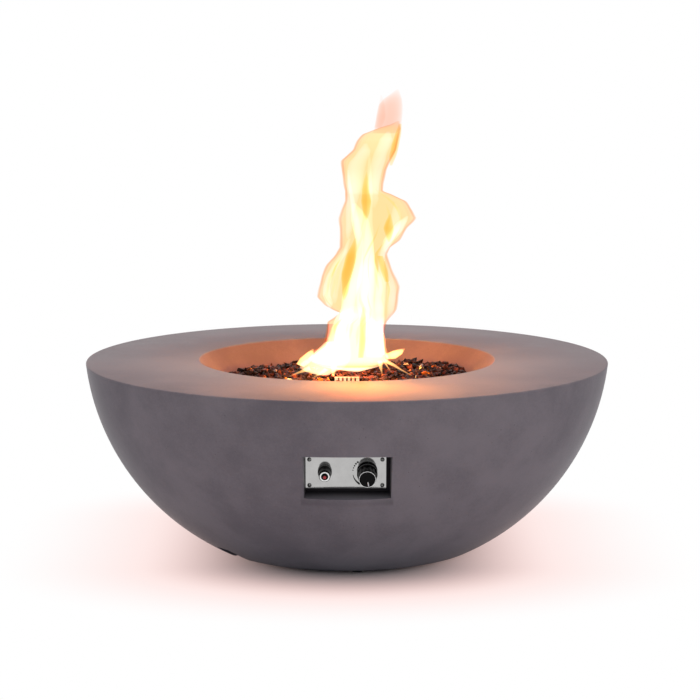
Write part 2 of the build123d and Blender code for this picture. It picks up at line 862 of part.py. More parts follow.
def ignition_hood():
    """Folded cover with a sloped louvred front that shields the electrode and the flame sensor."""
    base = pan_floor_z + pan_sheet
    top = base + hood_height

    def side_view(inset):
        left = -hood_depth / 2 + inset
        right = hood_depth / 2 - inset
        crest = top - inset
        return make_face(Polyline(
            (left, base), (right, base), (right, crest), (left + hood_slope, crest), (left, crest - hood_slope),
            close=True,
        ))

    def across(face, width):
        return Pos(0, hood_y, 0) * extrude(Plane.YZ * face, width / 2, both=True)

    hood = across(side_view(0), hood_width) - across(side_view(hood_sheet), hood_width - 2 * hood_sheet)
    for side in (-1, 1):
        tab = Box(hood_tab_length + hood_sheet, hood_depth * hood_tab_share, hood_sheet)
        hood += Pos(side * (hood_width + hood_tab_length - hood_sheet) / 2, hood_y, base + hood_sheet / 2) * tab
    front = hood_y - hood_depth / 2
    first = -(hood_slot_count - 1) / 2 * hood_slot_pitch
    for k in range(hood_slot_count):
        slot = Box(hood_slot_width, hood_depth, hood_slot_height)
        hood -= Pos(first + k * hood_slot_pitch, front, top - hood_slot_height / 2 + hood_sheet) * slot
        hood -= Pos(first + k * hood_slot_pitch, -front + 2 * hood_y, top - hood_slot_height) * slot
    louvre_bottom = top - hood_slot_height - hood_window_height
    hood -= Pos(0, front, louvre_bottom) * Box(hood_width - 2 * hood_post, 2 * hood_post, hood_window_height)
    for place in hood_screw_places:
        hood -= place * hexagon(hood_screw_flats, base, base + hood_sheet)
    return hood


def hood_screws():
    """Two screws through the hood's tabs into the pan."""
    top = pan_floor_z + pan_sheet + hood_sheet
    screw = hexagon(hood_screw_head, top, top + hood_screw_head / 3)
    screw += hexagon(hood_screw_flats, top - hood_screw_length, top)
    return [place * screw for place in hood_screw_places]


def probe_bracket():
    """Folded shelf inside the hood that holds the electrode and the flame sensor."""
    base = pan_floor_z + pan_sheet
    inside = hood_depth / 2 - hood_sheet - passing_gap
    sheet = hood_sheet
    back = Box(probe_shelf_width, sheet, probe_shelf_height)
    shelf = Box(probe_shelf_width, 2 * inside, sheet)
    bracket = Pos(0, hood_y + inside - sheet / 2, base + probe_shelf_height / 2) * back
    bracket += Pos(0, hood_y, base + probe_shelf_height - sheet / 2) * shelf
    for place, across in zip(probe_places, (ceramic_across, sensor_across)):
        bracket -= place * prism(across + 2 * running_gap, few_sides, probe_middle - 2 * sheet, probe_middle)
    return bracket


def probe_grommets():
    """Heat-proof bushes in the pan for the two leads."""
    levels = (pan_floor_z + pan_sheet - grommet_height / 2, pan_floor_z + pan_sheet + grommet_height / 2)
    bush = ring(grommet_across, room_for(lead_across, lead_sides), few_sides, *levels)
    return [place * bush for place in probe_places]


def electrode_ceramic():
    """Insulator of the ignition electrode, held in the shelf."""
    start = probe_middle - ceramic_length / 2
    return probe_places[0] * prism(ceramic_across, few_sides, start, start + ceramic_length)


def electrode_wire():
    """Spark wire that stands out of the insulator."""
    start = probe_middle + ceramic_length / 2
    return probe_places[0] * hexagon(electrode_flats, start, start + electrode_length)


def flame_sensor():
    """Flame sensor's sleeve, held in the shelf."""
    start = probe_middle - sensor_length / 2
    return probe_places[1] * prism(sensor_across, few_sides, start, start + sensor_length)


def lead_between(probe_place, top, panel_place):
    """Lead from under a probe, down through the pan and across to a part behind the panel."""
    x, y, _ = world_point(probe_place)
    end = world_point(panel_place)
    approach = world_point(panel_place * Pos(0, 0, -lead_drop))
    turn = (x, y, pan_floor_z - lead_drop)
    return tube_along([(x, y, top), turn, approach, end], lead_bend, lead_across, lead_sides)


sensor_nut_back = valve_back - magnet_length - sensor_nut_length


def sensor_lead():
    """Capillary from the flame sensor to the valve's flame-failure unit."""
    panel_end = on_knob * Pos(0, 0, valve_back - magnet_length)
    return lead_between(probe_places[1], probe_middle - sensor_length / 2, panel_end)


def sensor_nut():
    """Small nut that holds the sensor's lead to the valve."""
    levels = (sensor_nut_back, valve_back - magnet_length)
    bore = prism(room_for(lead_across, lead_sides), few_sides, *levels)
    return on_knob * (hexagon(sensor_nut_flats, *levels) - bore)


def igniter_lead():
    """Insulated lead from the igniter's back to the electrode."""
    panel_end = on_igniter * Pos(0, 0, -plate_thickness - barrel_length)
    return lead_between(probe_places[0], probe_middle - ceramic_length / 2, panel_end)


# Stone bed: the fill rises to a shallow many-sided dome that the loose stones stand on
fill_radius = (pan_radius - pan_sheet - passing_gap) * math.cos(math.pi / turned_sides)
dome_radius = (fill_radius**2 + bed_rise**2) / (2 * bed_rise)


def dome_height(radius):
    """Height of the fill's dome at a radius."""
    return flange_z + bed_rise - dome_radius + math.sqrt(dome_radius**2 - radius**2)


def rock_fill():
    """The settled lower stones as one body, with tunnels for the burner and room for the hood."""
    floor = pan_floor_z + pan_sheet
    steps = [fill_radius * share for share in dome_shares]
    fill = stacked([(fill_radius, floor), *[(radius, dome_height(radius)) for radius in steps]], turned_sides)
    tunnel = burner_tube + 2 * stone_gap
    tunnel_top = burner_z + tunnel / 2
    fill -= ring(2 * burner_ring_radius + tunnel, 2 * burner_ring_radius - tunnel, burner_sides, floor, tunnel_top)
    fill -= prism(hub_across + 2 * stone_gap, turned_sides, floor, burner_z + hub_height / 2 + stone_gap)
    arm_room = arm_across + 2 * stone_gap
    arm_top = burner_z + arm_room / 2
    fill -= Pos(0, 0, (floor + arm_top) / 2) * Box(2 * burner_ring_radius, arm_room, arm_top - floor)
    hood_room = Box(hood_width + 2 * stone_gap, hood_depth + 2 * stone_gap, hood_height * 2)
    fill -= Pos(0, hood_y, floor) * hood_room
    tab_width = hood_width + 2 * hood_tab_length + 2 * stone_gap
    tab_room = Box(tab_width, hood_depth * hood_tab_share + 2 * stone_gap, 2 * hood_screw_head)
    return fill - Pos(0, hood_y, floor) * tab_room


def crushed_stone(reach, height, chance):
    """One crushed stone: a block with three to five uneven sides and a smaller top, off centre."""
    corners = chance.choice(stone_corners)
    start = chance.uniform(0, 360)
    step = 360 / corners
    angles = [math.radians(start + step * (k + chance.uniform(*stone_corner_scatter))) for k in range(corners)]
    lean_angle = chance.uniform(0, 2 * math.pi)
    offset = Vector(math.cos(lean_angle), math.sin(lean_angle), 0) * (reach * chance.uniform(*stone_lean))
    top_share = chance.uniform(*stone_top_share)
    base = [Vector(reach * math.cos(angle), reach * math.sin(angle), 0) for angle in angles]
    top = [corner * top_share + offset + Vector(0, 0, height) for corner in base]
    return flat_faced([base, top])


def on_dome(radius, angle, lift):
    """Place on the fill's dome, or on the pan's flange beyond it, with Z along the surface's normal."""
    if radius > fill_radius - stone_pitch / 4:
        return Rot(0, 0, angle) * Pos(radius, 0, flange_z + lift)
    tilt = math.degrees(math.asin(radius / dome_radius))
    centre_z = flange_z + bed_rise - dome_radius
    return Pos(0, 0, centre_z) * Rot(0, 0, angle) * Rot(0, tilt, 0) * Pos(0, 0, dome_radius + lift)


def in_heap(radius, angle):
    """Whether a place lies under one of the two higher heaps."""
    turn = (angle + 180) % 360 - 180
    inside = any(low <= turn <= high or low <= turn + 360 <= high for low, high in heaps)
    return inside and heap_rings[0] - stone_pitch <= radius <= heap_rings[-1] + stone_pitch


def clear_of_hood(radius, angle):
    """Whether a stone centred at a place stays clear of the hood."""
    x = radius * math.cos(math.radians(angle))
    y = radius * math.sin(math.radians(angle)) - hood_y
    return abs(x) > (hood_width + stone_pitch) / 2 or abs(y) > (hood_depth + stone_pitch) / 2


def stone_ring(radius, chance):
    """Angles of the stones in one ring, as many as fit, from a random start."""
    count = max(1, int(2 * math.pi * radius / stone_pitch))
    start = chance.uniform(0, 360)
    return [start + 360 / count * k for k in range(count)]


def lava_rock():
    """The loose upper stones, in rings over the fill and the pan's flange, with two heaps on them."""
    chance = random.Random(11)
    reach = stone_pitch / 2 - passing_gap / 2
    stones = []
    outer_ring = well_radius(flange_z) - reach - passing_gap
    radius = outer_ring
    while radius > stone_pitch / 2:
        for angle in stone_ring(radius, chance):
            height = chance.uniform(stone_height_low, stone_height_high)
            if in_heap(radius, angle):
                height = stone_height_high
            if clear_of_hood(radius, angle):
                stones.append(on_dome(radius, angle, stone_lift) * crushed_stone(reach, height, chance))
        radius -= stone_pitch
    for radius in heap_rings:
        for angle in stone_ring(radius, chance):
            height = chance.uniform(heap_height_low, heap_height_high)
            if in_heap(radius, angle):
                lift = stone_height_high + stone_lift + passing_gap
                stones.append(on_dome(radius, angle, lift) * crushed_stone(reach, height, chance))
    return stones


save("bowl_shell", concrete_bowl())
save("foot_pads", *foot_pads())
save("control_plate", control_plate())
save("plate_screws", *plate_screws())
save("plate_inserts", *plate_inserts())
save("valve_stem", on_knob * valve_stem())
save("knob", on_knob * knob())
save("knob_ring", on_knob * knob_ring())
save("knob_pointer", on_knob * knob_pointer())
save("gas_valve", gas_valve())
save("valve_nut", valve_nut())
save("valve_plug", valve_plug())
save("magnet_unit", magnet_unit())
save("knob_spring", on_knob * spring_sleeve(knob_spring_across, plug_front, collar_back))
save("igniter_barrel", on_igniter * igniter_barrel())
save("igniter_nut", on_igniter * igniter_nut())
save("igniter_cap", on_igniter * igniter_cap())
save("igniter_bezel", on_igniter * igniter_bezel())
save("igniter_button", on_igniter * igniter_button())
save("red_dot", on_igniter * red_dot())
save("battery", on_igniter * battery())
save("button_spring", on_igniter * spring_sleeve(button_spring_across, battery_front, button_back))
save("burner_pan", burner_pan())
save("ring_burner", ring_burner())
save("burner_supports", *burner_supports())
save("burner_locknuts", *locknuts())
save("air_mixer", air_mixer())
save("air_shutter", air_shutter())
save("gas_jet", gas_jet())
save("gas_inlet", gas_inlet())
save("inlet_backnut", inlet_backnut())
save("inlet_bracket", inlet_bracket())
save("bracket_screws", *bracket_screws())
save("hose_nuts", *hose_nuts())
save("burner_hose", burner_hose())
save("inlet_hose", inlet_hose())
save("ignition_hood", ignition_hood())
save("hood_screws", *hood_screws())
save("probe_bracket", probe_bracket())
save("probe_grommets", *probe_grommets())
save("electrode_ceramic", electrode_ceramic())
save("electrode_wire", electrode_wire())
save("flame_sensor", flame_sensor())
save("sensor_lead", sensor_lead())
save("sensor_nut", sensor_nut())
save("igniter_lead", igniter_lead())
save("rock_fill", rock_fill())
save("lava_rock", *lava_rock())
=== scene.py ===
import math
import random

import bmesh
import bpy
from mathutils import Matrix, Vector, noise
from mathutils.geometry import interpolate_bezier


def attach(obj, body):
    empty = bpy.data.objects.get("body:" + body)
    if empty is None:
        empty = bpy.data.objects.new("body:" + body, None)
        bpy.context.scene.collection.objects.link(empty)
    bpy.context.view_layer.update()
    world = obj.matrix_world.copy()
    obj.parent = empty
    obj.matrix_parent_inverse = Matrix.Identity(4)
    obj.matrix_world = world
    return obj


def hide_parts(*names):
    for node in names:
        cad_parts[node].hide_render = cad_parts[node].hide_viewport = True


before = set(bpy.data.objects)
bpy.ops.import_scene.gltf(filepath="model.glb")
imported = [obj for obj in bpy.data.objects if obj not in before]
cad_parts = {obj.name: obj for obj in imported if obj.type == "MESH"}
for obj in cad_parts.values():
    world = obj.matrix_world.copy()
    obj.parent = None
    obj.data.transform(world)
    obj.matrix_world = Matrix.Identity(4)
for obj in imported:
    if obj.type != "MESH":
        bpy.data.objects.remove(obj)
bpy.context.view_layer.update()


# Camera: it stands about four metres in front of the bowl and a little above the rim, and looks slightly
# down through a long lens, so that the rim shows as a flat oval and the sides hardly narrow.

camera = bpy.data.objects.new("camera", bpy.data.cameras.new("camera"))
camera.data.lens = 102.763
camera.data.sensor_width = 36
camera.data.shift_x = 0.00434
camera.data.clip_end = 200
camera.location = (0, -4.0697, 0.9945)
camera.rotation_euler = (math.radians(81.73), 0, 0)
bpy.context.scene.collection.objects.link(camera)
bpy.context.scene.camera = camera
bpy.context.scene.view_settings.view_transform = "Standard"


# Cast concrete bowl: a thin shell with a broad flat rim, trowelled edges, a tapered fire well and a ledge
# for the burner pan. It is cast grey, rubbed down and sealed to a dull sheen, so it keeps a soft cloudy
# mottling, fine sand grain and a few small air holes.


class Flow:
    """One shader socket that can stand in plain sums, so that a finish reads as an expression."""

    def __init__(self, tree, socket=None):
        self.tree = tree
        self.socket = socket

    def node(self, kind, settings=None, inputs=None, output=0):
        """Any other node: its settings come first, then values or links by socket name or number."""
        made = self.tree.nodes.new("ShaderNode" + kind)
        for name, value in (settings or {}).items():
            if name == "stops":
                elements = made.color_ramp.elements
                while len(elements) < len(value):
                    elements.new(1.0)
                for element, (place, colour) in zip(elements, value):
                    element.position = place
                    element.color = (*colour, 1.0)
            else:
                setattr(made, name, value)
        for name, value in (inputs or {}).items():
            feed(self.tree, made.inputs[name], value)
        return Flow(self.tree, made.outputs[output])

    def maths(self, operation, *values):
        return self.node("Math", {"operation": operation}, dict(enumerate(values)))

    def __add__(self, other):
        return self.maths("ADD", self, other)

    __radd__ = __add__

    def __sub__(self, other):
        return self.maths("SUBTRACT", self, other)

    def __rsub__(self, other):
        return self.maths("SUBTRACT", other, self)

    def __mul__(self, other):
        return self.maths("MULTIPLY", self, other)

    __rmul__ = __mul__

    def __pow__(self, other):
        return self.maths("POWER", self, other)

    def between(self, low, high, start=0.0, end=1.0):
        """Runs smoothly from start to end while this goes from low to high."""
        inputs = {"Value": self, "From Min": low, "From Max": high, "To Min": start, "To Max": end}
        return self.node("MapRange", {"interpolation_type": "SMOOTHSTEP"}, inputs)

    def mix(self, first, second):
        """First colour where this is 0, second colour where it is 1."""
        return self.node("Mix", {"data_type": "RGBA"}, {0: self, 6: first, 7: second}, 2)

    def scaled(self, x, y, z):
        """A vector stretched along its own axes."""
        return self.node("VectorMath", {"operation": "MULTIPLY"}, {0: self, 1: (x, y, z)})

    def noise(self, scale, detail=3.0, roughness=0.5):
        """Cloudy value round 0.5 at a number of lumps per metre."""
        inputs = {"Vector": self, "Scale": scale, "Detail": detail, "Roughness": roughness}
        return self.node("TexNoise", None, inputs)

    def cells(self, scale, output="Distance"):
        """Distance to the nearest of many scattered points, or that point's own colour."""
        return self.node("TexVoronoi", None, {"Vector": self, "Scale": scale}, output)

    def bump(self, depth, strength=1.0):
        """Normal of a surface that this height roughens, in metres."""
        return self.node("Bump", None, {"Height": self, "Distance": depth, "Strength": strength})


def feed(tree, socket, value):
    """Put a value or a link into a socket."""
    if isinstance(value, Flow):
        tree.links.new(value.socket, socket)
    elif isinstance(value, tuple) and len(value) == 3 and socket.type == "RGBA":
        socket.default_value = (*value, 1.0)
    else:
        socket.default_value = value


def finish(name, varied, **fixed):
    """A finish: fixed numbers stand on the shader's sockets, and varied() gives what changes over it."""
    material = bpy.data.materials.new(name)
    material.use_nodes = True
    shader = material.node_tree.nodes["Principled BSDF"]
    for socket, value in fixed.items():
        feed(material.node_tree, shader.inputs[socket.replace("_", " ")], value)
    place = Flow(material.node_tree).node("TexCoord", output="Object")
    for socket, value in varied(place).items():
        feed(material.node_tree, shader.inputs[socket], value)
    return material


def made(name, form, material, body, slot, stands_for=(), place=None, sharp=35):
    """Turn a mesh in the making into a piece that rides on a body in place of its CAD nodes."""
    bmesh.ops.remove_doubles(form, verts=form.verts, dist=1e-6)
    bmesh.ops.recalc_face_normals(form, faces=form.faces)
    if place is not None:
        form.transform(place)
    mesh = bpy.data.meshes.new(name)
    form.to_mesh(mesh)
    form.free()
    mesh.shade_smooth()
    mesh.set_sharp_from_angle(angle=math.radians(sharp))
    mesh.materials.append(material)
    piece = bpy.data.objects.new(name, mesh)
    bpy.context.scene.collection.objects.link(piece)
    if body:
        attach(piece, body)
        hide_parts(*stands_for)
    return piece


def turned(profile, segments, closed=False, flute=None):
    """Mesh turned on a lathe from (radius, height) pairs; flute() varies the radius with the angle."""
    form = bmesh.new()
    turns = [2 * math.pi * k / segments for k in range(segments)]
    rings = []
    for radius, height in profile:
        around = turns if radius else turns[:1]
        reach = [radius * (flute(turn, height) if flute else 1) for turn in around]
        places = [(r * math.cos(turn), r * math.sin(turn), height) for r, turn in zip(reach, around)]
        rings.append([form.verts.new(place) for place in places])
    pairs = list(zip(rings, rings[1:]))
    if closed:
        pairs.append((rings[-1], rings[0]))
    for lower, upper in pairs:
        for k in range(segments):
            corners = [(lower, k), (lower, k + 1), (upper, k + 1), (upper, k)]
            corners = [ring[step % len(ring)] for ring, step in corners]
            corners = list(dict.fromkeys(corners))
            if len(corners) > 2:
                form.faces.new(corners)
    return form


def through(*sections):
    """Closed mesh through sections that have the same number of corners."""
    form = bmesh.new()
    rings = [[form.verts.new(corner) for corner in section] for section in sections]
    for lower, upper in zip(rings, rings[1:]):
        for k in range(len(lower)):
            after = (k + 1) % len(lower)
            form.faces.new((lower[k], lower[after], upper[after], upper[k]))
    form.faces.new(rings[0])
    form.faces.new(rings[-1])
    return form


def carve(piece, form, operation, place=None):
    """Join a form to a piece, or cut it out of it, or keep only what both share."""
    tool = made("cutter", form, concrete, None, None, place=place)
    change = piece.modifiers.new("carve", "BOOLEAN")
    change.solver = "EXACT"
    change.operation = operation
    change.object = tool
    shape = bpy.data.meshes.new_from_object(piece.evaluated_get(bpy.context.evaluated_depsgraph_get()))
    piece.modifiers.remove(change)
    piece.data = shape
    bpy.data.objects.remove(tool)


panel_tilt = math.radians(10)
panel = Matrix((
    (1, 0, 0, 0),
    (0, -math.sin(panel_tilt), -math.cos(panel_tilt), -0.445),
    (0, math.cos(panel_tilt), -math.sin(panel_tilt), 0.239),
    (0, 0, 0, 1),
))
panel_middle, panel_out = tuple(panel.translation), tuple(panel.col[2][:3])


def along(place, direction, start=(0.0, 0.0, 0.0)):
    """How far a place lies from a start along a direction."""
    moved = place.node("VectorMath", {"operation": "SUBTRACT"}, {0: place, 1: start})
    return place.node("VectorMath", {"operation": "DOT_PRODUCT"}, {0: moved, 1: direction}, "Value")


def cast_concrete(place):
    """Clouded grey with sand and air holes, with the fire's glow painted orange-brown on the well's wall and
    painted shade deep in the recess.
    """
    x, y, z = (along(place, axis) for axis in ((1.0, 0.0, 0.0), (0.0, 1.0, 0.0), (0.0, 0.0, 1.0)))
    reach = (x * x + y * y) ** 0.5
    # Painted firelight: the fire well's wall is tinted orange-brown where the flames' glow falls on it.
    fire_glow_mask = reach.between(0.3035, 0.3015) * z.between(0.324, 0.327)
    # Painted shade: the concrete turns near black deep in the control recess, close to the plate, where little
    # light reaches.
    deep = along(place, panel_out, panel_middle).between(0.0, 0.034, 1.0, 0.0)
    beside = (x * x) ** 0.5
    painted_recess_shade = deep * beside.between(0.0875, 0.083) * y.between(-0.3, -0.42)
    painted_recess_shade = painted_recess_shade * z.between(0.175, 0.185) * z.between(0.3, 0.29)
    cloud = place.noise(2.6, 2.0)
    patch = place.noise(11.0, 5.0, 0.62)
    grain = place.noise(900.0, 2.0)
    sand = place.noise(220.0, 4.0, 0.7)
    pit = place.cells(85.0).between(0.055, 0.11, 1.0, 0.0) * place.noise(23.0).between(0.52, 0.62)
    pin = place.cells(320.0).between(0.07, 0.14, 1.0, 0.0) * place.noise(60.0).between(0.5, 0.66)
    tone = cloud.between(0.3, 0.7, -0.5, 0.5) * 0.55 + patch.between(0.25, 0.75, -0.5, 0.5) * 0.5
    tone = tone + grain.between(0.3, 0.7, -0.5, 0.5) * 0.16 + sand.between(0.3, 0.7, -0.5, 0.5) * 0.16 + 0.5
    colour = tone.between(0.0, 1.0).mix((0.185, 0.166, 0.182), (0.262, 0.236, 0.25))
    colour = (pit * 0.6 + pin * 0.35).mix(colour, (0.07, 0.06, 0.065))
    times = {"data_type": "RGBA", "blend_type": "MULTIPLY"}
    # Painted firelight glow: the well's wall takes this warm tint in place of the fire's light.
    fire_glow_colour = colour.node("Mix", times, {0: 1.0, 6: colour, 7: (0.98, 0.67, 0.54)}, 2)
    colour = (fire_glow_mask * 0.95).mix(colour, fire_glow_colour)
    # Painted shade in the recess.
    colour = (painted_recess_shade * 0.93).mix(colour, (0.012, 0.011, 0.012))
    height = grain * 0.12 + sand * 0.3 + patch * 0.6 - pit * 2.0 - pin * 0.8
    return {
        "Base Color": colour,
        "Roughness": patch.between(0.2, 0.8, 0.29, 0.42) + grain.between(0.3, 0.7, -0.03, 0.03),
        "Normal": height.bump(0.0005, 0.55),
    }


concrete = finish("cast_concrete", cast_concrete, Specular_IOR_Level=0.02)

arc_centre, arc_reach = (0.05356, 0.43661), 0.4824
bowl_sides = 288
rim_top = 0.387
well_foot, ledge_reach, ledge_top = 0.2548, 0.2290, 0.326
base_reach = 0.2252


def side_arc(low, high, inset, count):
    """Points up the bowl's side, as radius and height."""
    reach = arc_reach - inset
    start, end = (math.asin((z - arc_centre[1]) / reach) for z in (low, high))
    turns = [start + (end - start) * k / count for k in range(count + 1)]
    return [(arc_centre[0] + reach * math.cos(turn), arc_centre[1] + reach * math.sin(turn)) for turn in turns]


bowl_profile = [
    (base_reach, 0.006), (0.2688, 0.006), (0.2702, 0.0066),
    *side_arc(0.0082, 0.3832, 0.0, 30),
    (0.5331, 0.3850), (0.5324, 0.3864), (0.5308, rim_top), (0.3052, rim_top), (0.3037, 0.3865),
    (0.3028, 0.3853), (well_foot, ledge_top), (ledge_reach, ledge_top), (ledge_reach, 0.312),
    (0.2630, 0.312), (0.3080, 0.369), (0.5155, 0.369),
    *reversed(side_arc(0.021, 0.3665, 0.015, 16)),
    (base_reach, 0.021),
]
bowl = made("bowl", turned(bowl_profile, bowl_sides, closed=True), concrete, "bowl", "concrete", ["bowl_shell"])

# The control recess is cast with its own collar. It is a box that widens to the front, so that the mould
# lets go of it, with a window in its back for the panel's works.

recess_front, collar_wall = 0.095, 0.014
plate_thickness = 0.0015
side_draft, top_draft, bottom_draft = (math.tan(math.radians(draft)) for draft in (5, 14.9, 6.5))
box_corners = [(1, 1), (-1, 1), (-1, -1), (1, -1)]


def opening(reach, margin):
    """The recess's corners at a reach in front of its back wall, grown by a margin."""
    top = 0.036 + reach * top_draft + margin
    bottom = -0.038 - reach * bottom_draft - margin
    half = 0.078 + reach * side_draft + margin
    return [(0.001 + half * x, top if y > 0 else bottom, reach - plate_thickness) for x, y in box_corners]


core = turned([(0, 0.03), (0.28, 0.03), *side_arc(0.04, 0.36, 0.006, 24), (0, 0.36)], bowl_sides)
collar_form = through(opening(-0.012, collar_wall), opening(recess_front, collar_wall))
collar = made("collar", collar_form, concrete, None, None, place=panel)
carve(collar, core, "INTERSECT")
joined = bmesh.new()
joined.from_mesh(collar.data)
bpy.data.objects.remove(collar)
carve(bowl, joined, "UNION")
carve(bowl, through(opening(0, 0), opening(recess_front, 0)), "DIFFERENCE", panel)
window = [(x * 0.058 - 0.002, y * 0.021) for x, y in box_corners]
carve(bowl, through(*[[(*at, z) for at in window] for z in (-0.024, 0.006)]), "DIFFERENCE", panel)

# The foot has a low arched notch at the left, where the hose comes in. A block in the mould keeps it free
# of concrete, through the foot's flange and the side.

notch_turn = Matrix.Rotation(math.radians(-141), 4, "Z")
notch_half, notch_corner, corner_height = 0.026, 0.012, 0.023
arch = [(-notch_half, -0.02), (notch_half, -0.02)]
for middle, start in ((notch_half - notch_corner, 0), (notch_corner - notch_half, 90)):
    for k in range(7):
        turn = math.radians(start + 15 * k)
        arch.append((middle + notch_corner * math.cos(turn), corner_height + notch_corner * math.sin(turn)))
carve(bowl, through(*[[(reach, y, z) for y, z in arch] for reach in (0.17, 0.34)]), "DIFFERENCE", notch_turn)
bowl.data.shade_smooth()
bowl.data.set_sharp_from_angle(angle=math.radians(28))


# Four black rubber pads under the foot's flange keep the concrete off the ground, and two bushes of the
# same rubber hold the probes in their shelf. All are moulded, with a fine dull grain.


def dress(material, *nodes):
    """Give CAD nodes their finish."""
    for node in nodes:
        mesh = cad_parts[node].data
        mesh.materials.clear()
        mesh.materials.append(material)


def moulded_rubber(place):
    grain = place.noise(1400.0, 3.0)
    return {
        "Base Color": grain.mix((0.012, 0.012, 0.012), (0.028, 0.027, 0.027)),
        "Roughness": grain.between(0.2, 0.8, 0.55, 0.75),
        "Normal": grain.bump(0.0002, 0.5),
    }


rubber = finish("rubber", moulded_rubber)
dress(rubber, "foot_pads", "probe_grommets")


# Control plate: bright polished stainless sheet in the recess, held by a dark cross-slot screw at each
# corner. Printed on it in black, round the knob, are a row of growing dots and a tapering arc.


def polished_sheet(place):
    brushed = place.scaled(1, 60, 60).noise(30.0, 3.0)
    smudge = place.noise(38.0, 4.0)
    return {
        "Base Color": smudge.mix((0.40, 0.395, 0.39), (0.54, 0.535, 0.53)),
        "Roughness": brushed * 0.04 + smudge.between(0.35, 0.75, 0.05, 0.11),
        "Normal": brushed.bump(0.00002, 0.35),
    }


sheet = finish("polished_sheet", polished_sheet, Metallic=1.0)
dress(sheet, "control_plate")

screw_form = [
    (0, -0.0002), (0.0039, -0.0002), (0.0039, 0.0009), (0.0036, 0.0016), (0.0028, 0.0021),
    (0.0015, 0.0024), (0, 0.0024),
]


def dark_steel(place):
    wear = place.noise(700.0, 3.0)
    return {
        "Base Color": wear.between(0.35, 0.7).mix((0.05, 0.05, 0.05), (0.3, 0.3, 0.29)),
        "Roughness": wear.between(0.3, 0.7, 0.16, 0.3),
    }


screw_black = finish("dark_steel", dark_steel, Metallic=1.0)


def cross(reach, half):
    """A screwdriver's cross, as corners."""
    corners = []
    for turns in range(4):
        for x, y in ((reach, half), (half, half), (half, reach)):
            for _ in range(turns):
                x, y = -y, x
            corners.append((x, y))
    return corners


screw_places = [(x, y) for x in (-0.0695, 0.0655) for y in (-0.0255, 0.0255)]
for number, (x, y) in enumerate(screw_places):
    spot = panel @ Matrix.Translation((x, y, 0)) @ Matrix.Rotation(0.4 + 0.7 * number, 4, "Z")
    stands_for = ["plate_screws"] if number == 0 else []
    name = f"plate_screw_{number + 1}"
    screw = made(name, turned(screw_form, 40), screw_black, "bowl", "screw_steel", stands_for, spot)
    slot_walls = through(*[[(*at, z) for at in cross(0.0024, 0.0004)] for z in (0.0012, 0.003)])
    carve(screw, slot_walls, "DIFFERENCE", spot)
    screw.data.set_sharp_from_angle(angle=math.radians(35))


def printed_ink(place):
    grain = place.noise(2500.0, 2.0)
    return {"Base Color": grain.mix((0.008, 0.008, 0.008), (0.02, 0.02, 0.02)), "Roughness": grain * 0.2 + 0.35}


ink = finish("printed_ink", printed_ink)
ink_form = bmesh.new()
ink_height = 0.00012
knob_x, dial_reach = 0.0375, 0.0268


def inked(outline):
    """Add one printed mark, from its outline on the plate."""
    ink_form.faces.new([ink_form.verts.new((x, y, ink_height)) for x, y in outline])


def on_dial(turn, reach):
    """A place on the plate at an angle and a reach round the knob."""
    return knob_x + reach * math.cos(turn), reach * math.sin(turn)


for k in range(5):
    x, y = on_dial(math.radians(171 - 10 * k), dial_reach)
    radius = 0.0011 + 0.0002 * k
    turns = [2 * math.pi * step / 20 for step in range(20)]
    inked([(x + radius * math.cos(turn), y + radius * math.sin(turn)) for turn in turns])
arc_steps = 28
arc_turns = [math.radians(190 + 50 * k / arc_steps) for k in range(arc_steps + 1)]
arc_widths = [0.0008 + 0.0034 * k / arc_steps for k in range(arc_steps + 1)]
outer = [on_dial(turn, dial_reach + width / 2) for turn, width in zip(arc_turns, arc_widths)]
inner = [on_dial(turn, dial_reach - width / 2) for turn, width in zip(arc_turns, arc_widths)]
for k in range(arc_steps):
    inked([outer[k], outer[k + 1], inner[k + 1], inner[k]])
made("dial_marks", ink_form, ink, "bowl", "black_plastic", place=panel)


# Knob: black moulding with a round skirt and a grip of twelve soft flutes, glossy at the skirt and duller
# at the face. A thin bright ring is let into the face, with a white pointer inside it.

knob_place = panel @ Matrix.Translation((knob_x, 0, 0))
skirt_top, knob_top = 0.0120, 0.0352
knob_form = [
    (0.0156, 0.0048), (0.0184, 0.0048), (0.0189, 0.0053), (0.0190, 0.0062), (0.0190, 0.0106),
    (0.0188, 0.0113), (0.0183, 0.0117), (0.0180, 0.0118), (0.0177, 0.0122), (0.0174, 0.0150),
    (0.0170, 0.0220), (0.0166, 0.0300), (0.0164, 0.0335), (0.0161, 0.0345), (0.0155, 0.0351),
    (0.0148, knob_top), (0.0135, knob_top), (0.0125, 0.0349), (0.0060, 0.0348), (0, 0.0348),
]


def grip(turn, height):
    """Twelve shallow flutes between the skirt and the face."""
    share = min(max((height - skirt_top) / 0.003, 0), 1) * min(max((knob_top - height) / 0.001, 0), 1)
    return 1 - 0.055 * share * (0.5 + 0.5 * math.cos(12 * turn)) ** 1.5


def glossy_moulding(place):
    orange_peel = place.noise(420.0, 2.0)
    handling = place.noise(90.0, 4.0)
    out = along(place, panel_out, panel_middle)
    return {
        "Base Color": handling.mix((0.003, 0.003, 0.0032), (0.007, 0.007, 0.007)),
        "Roughness": handling.between(0.3, 0.75, 0.3, 0.5),
        "Coat Weight": out.between(0.0275, 0.0255, 0.0, 0.2),
        "Normal": orange_peel.bump(0.00003, 0.5),
    }


black = finish("glossy_moulding", glossy_moulding, Specular_IOR_Level=0.06, Coat_Roughness=0.12)
made("knob_grip", turned(knob_form, 240, flute=grip), black, "knob", "black_plastic", ["knob"], knob_place, 50)


def plated_ring(place):
    handling = place.noise(300.0, 3.0)
    return {
        "Base Color": handling.mix((0.72, 0.72, 0.72), (0.86, 0.86, 0.86)),
        "Roughness": handling.between(0.3, 0.8, 0.08, 0.22),
    }


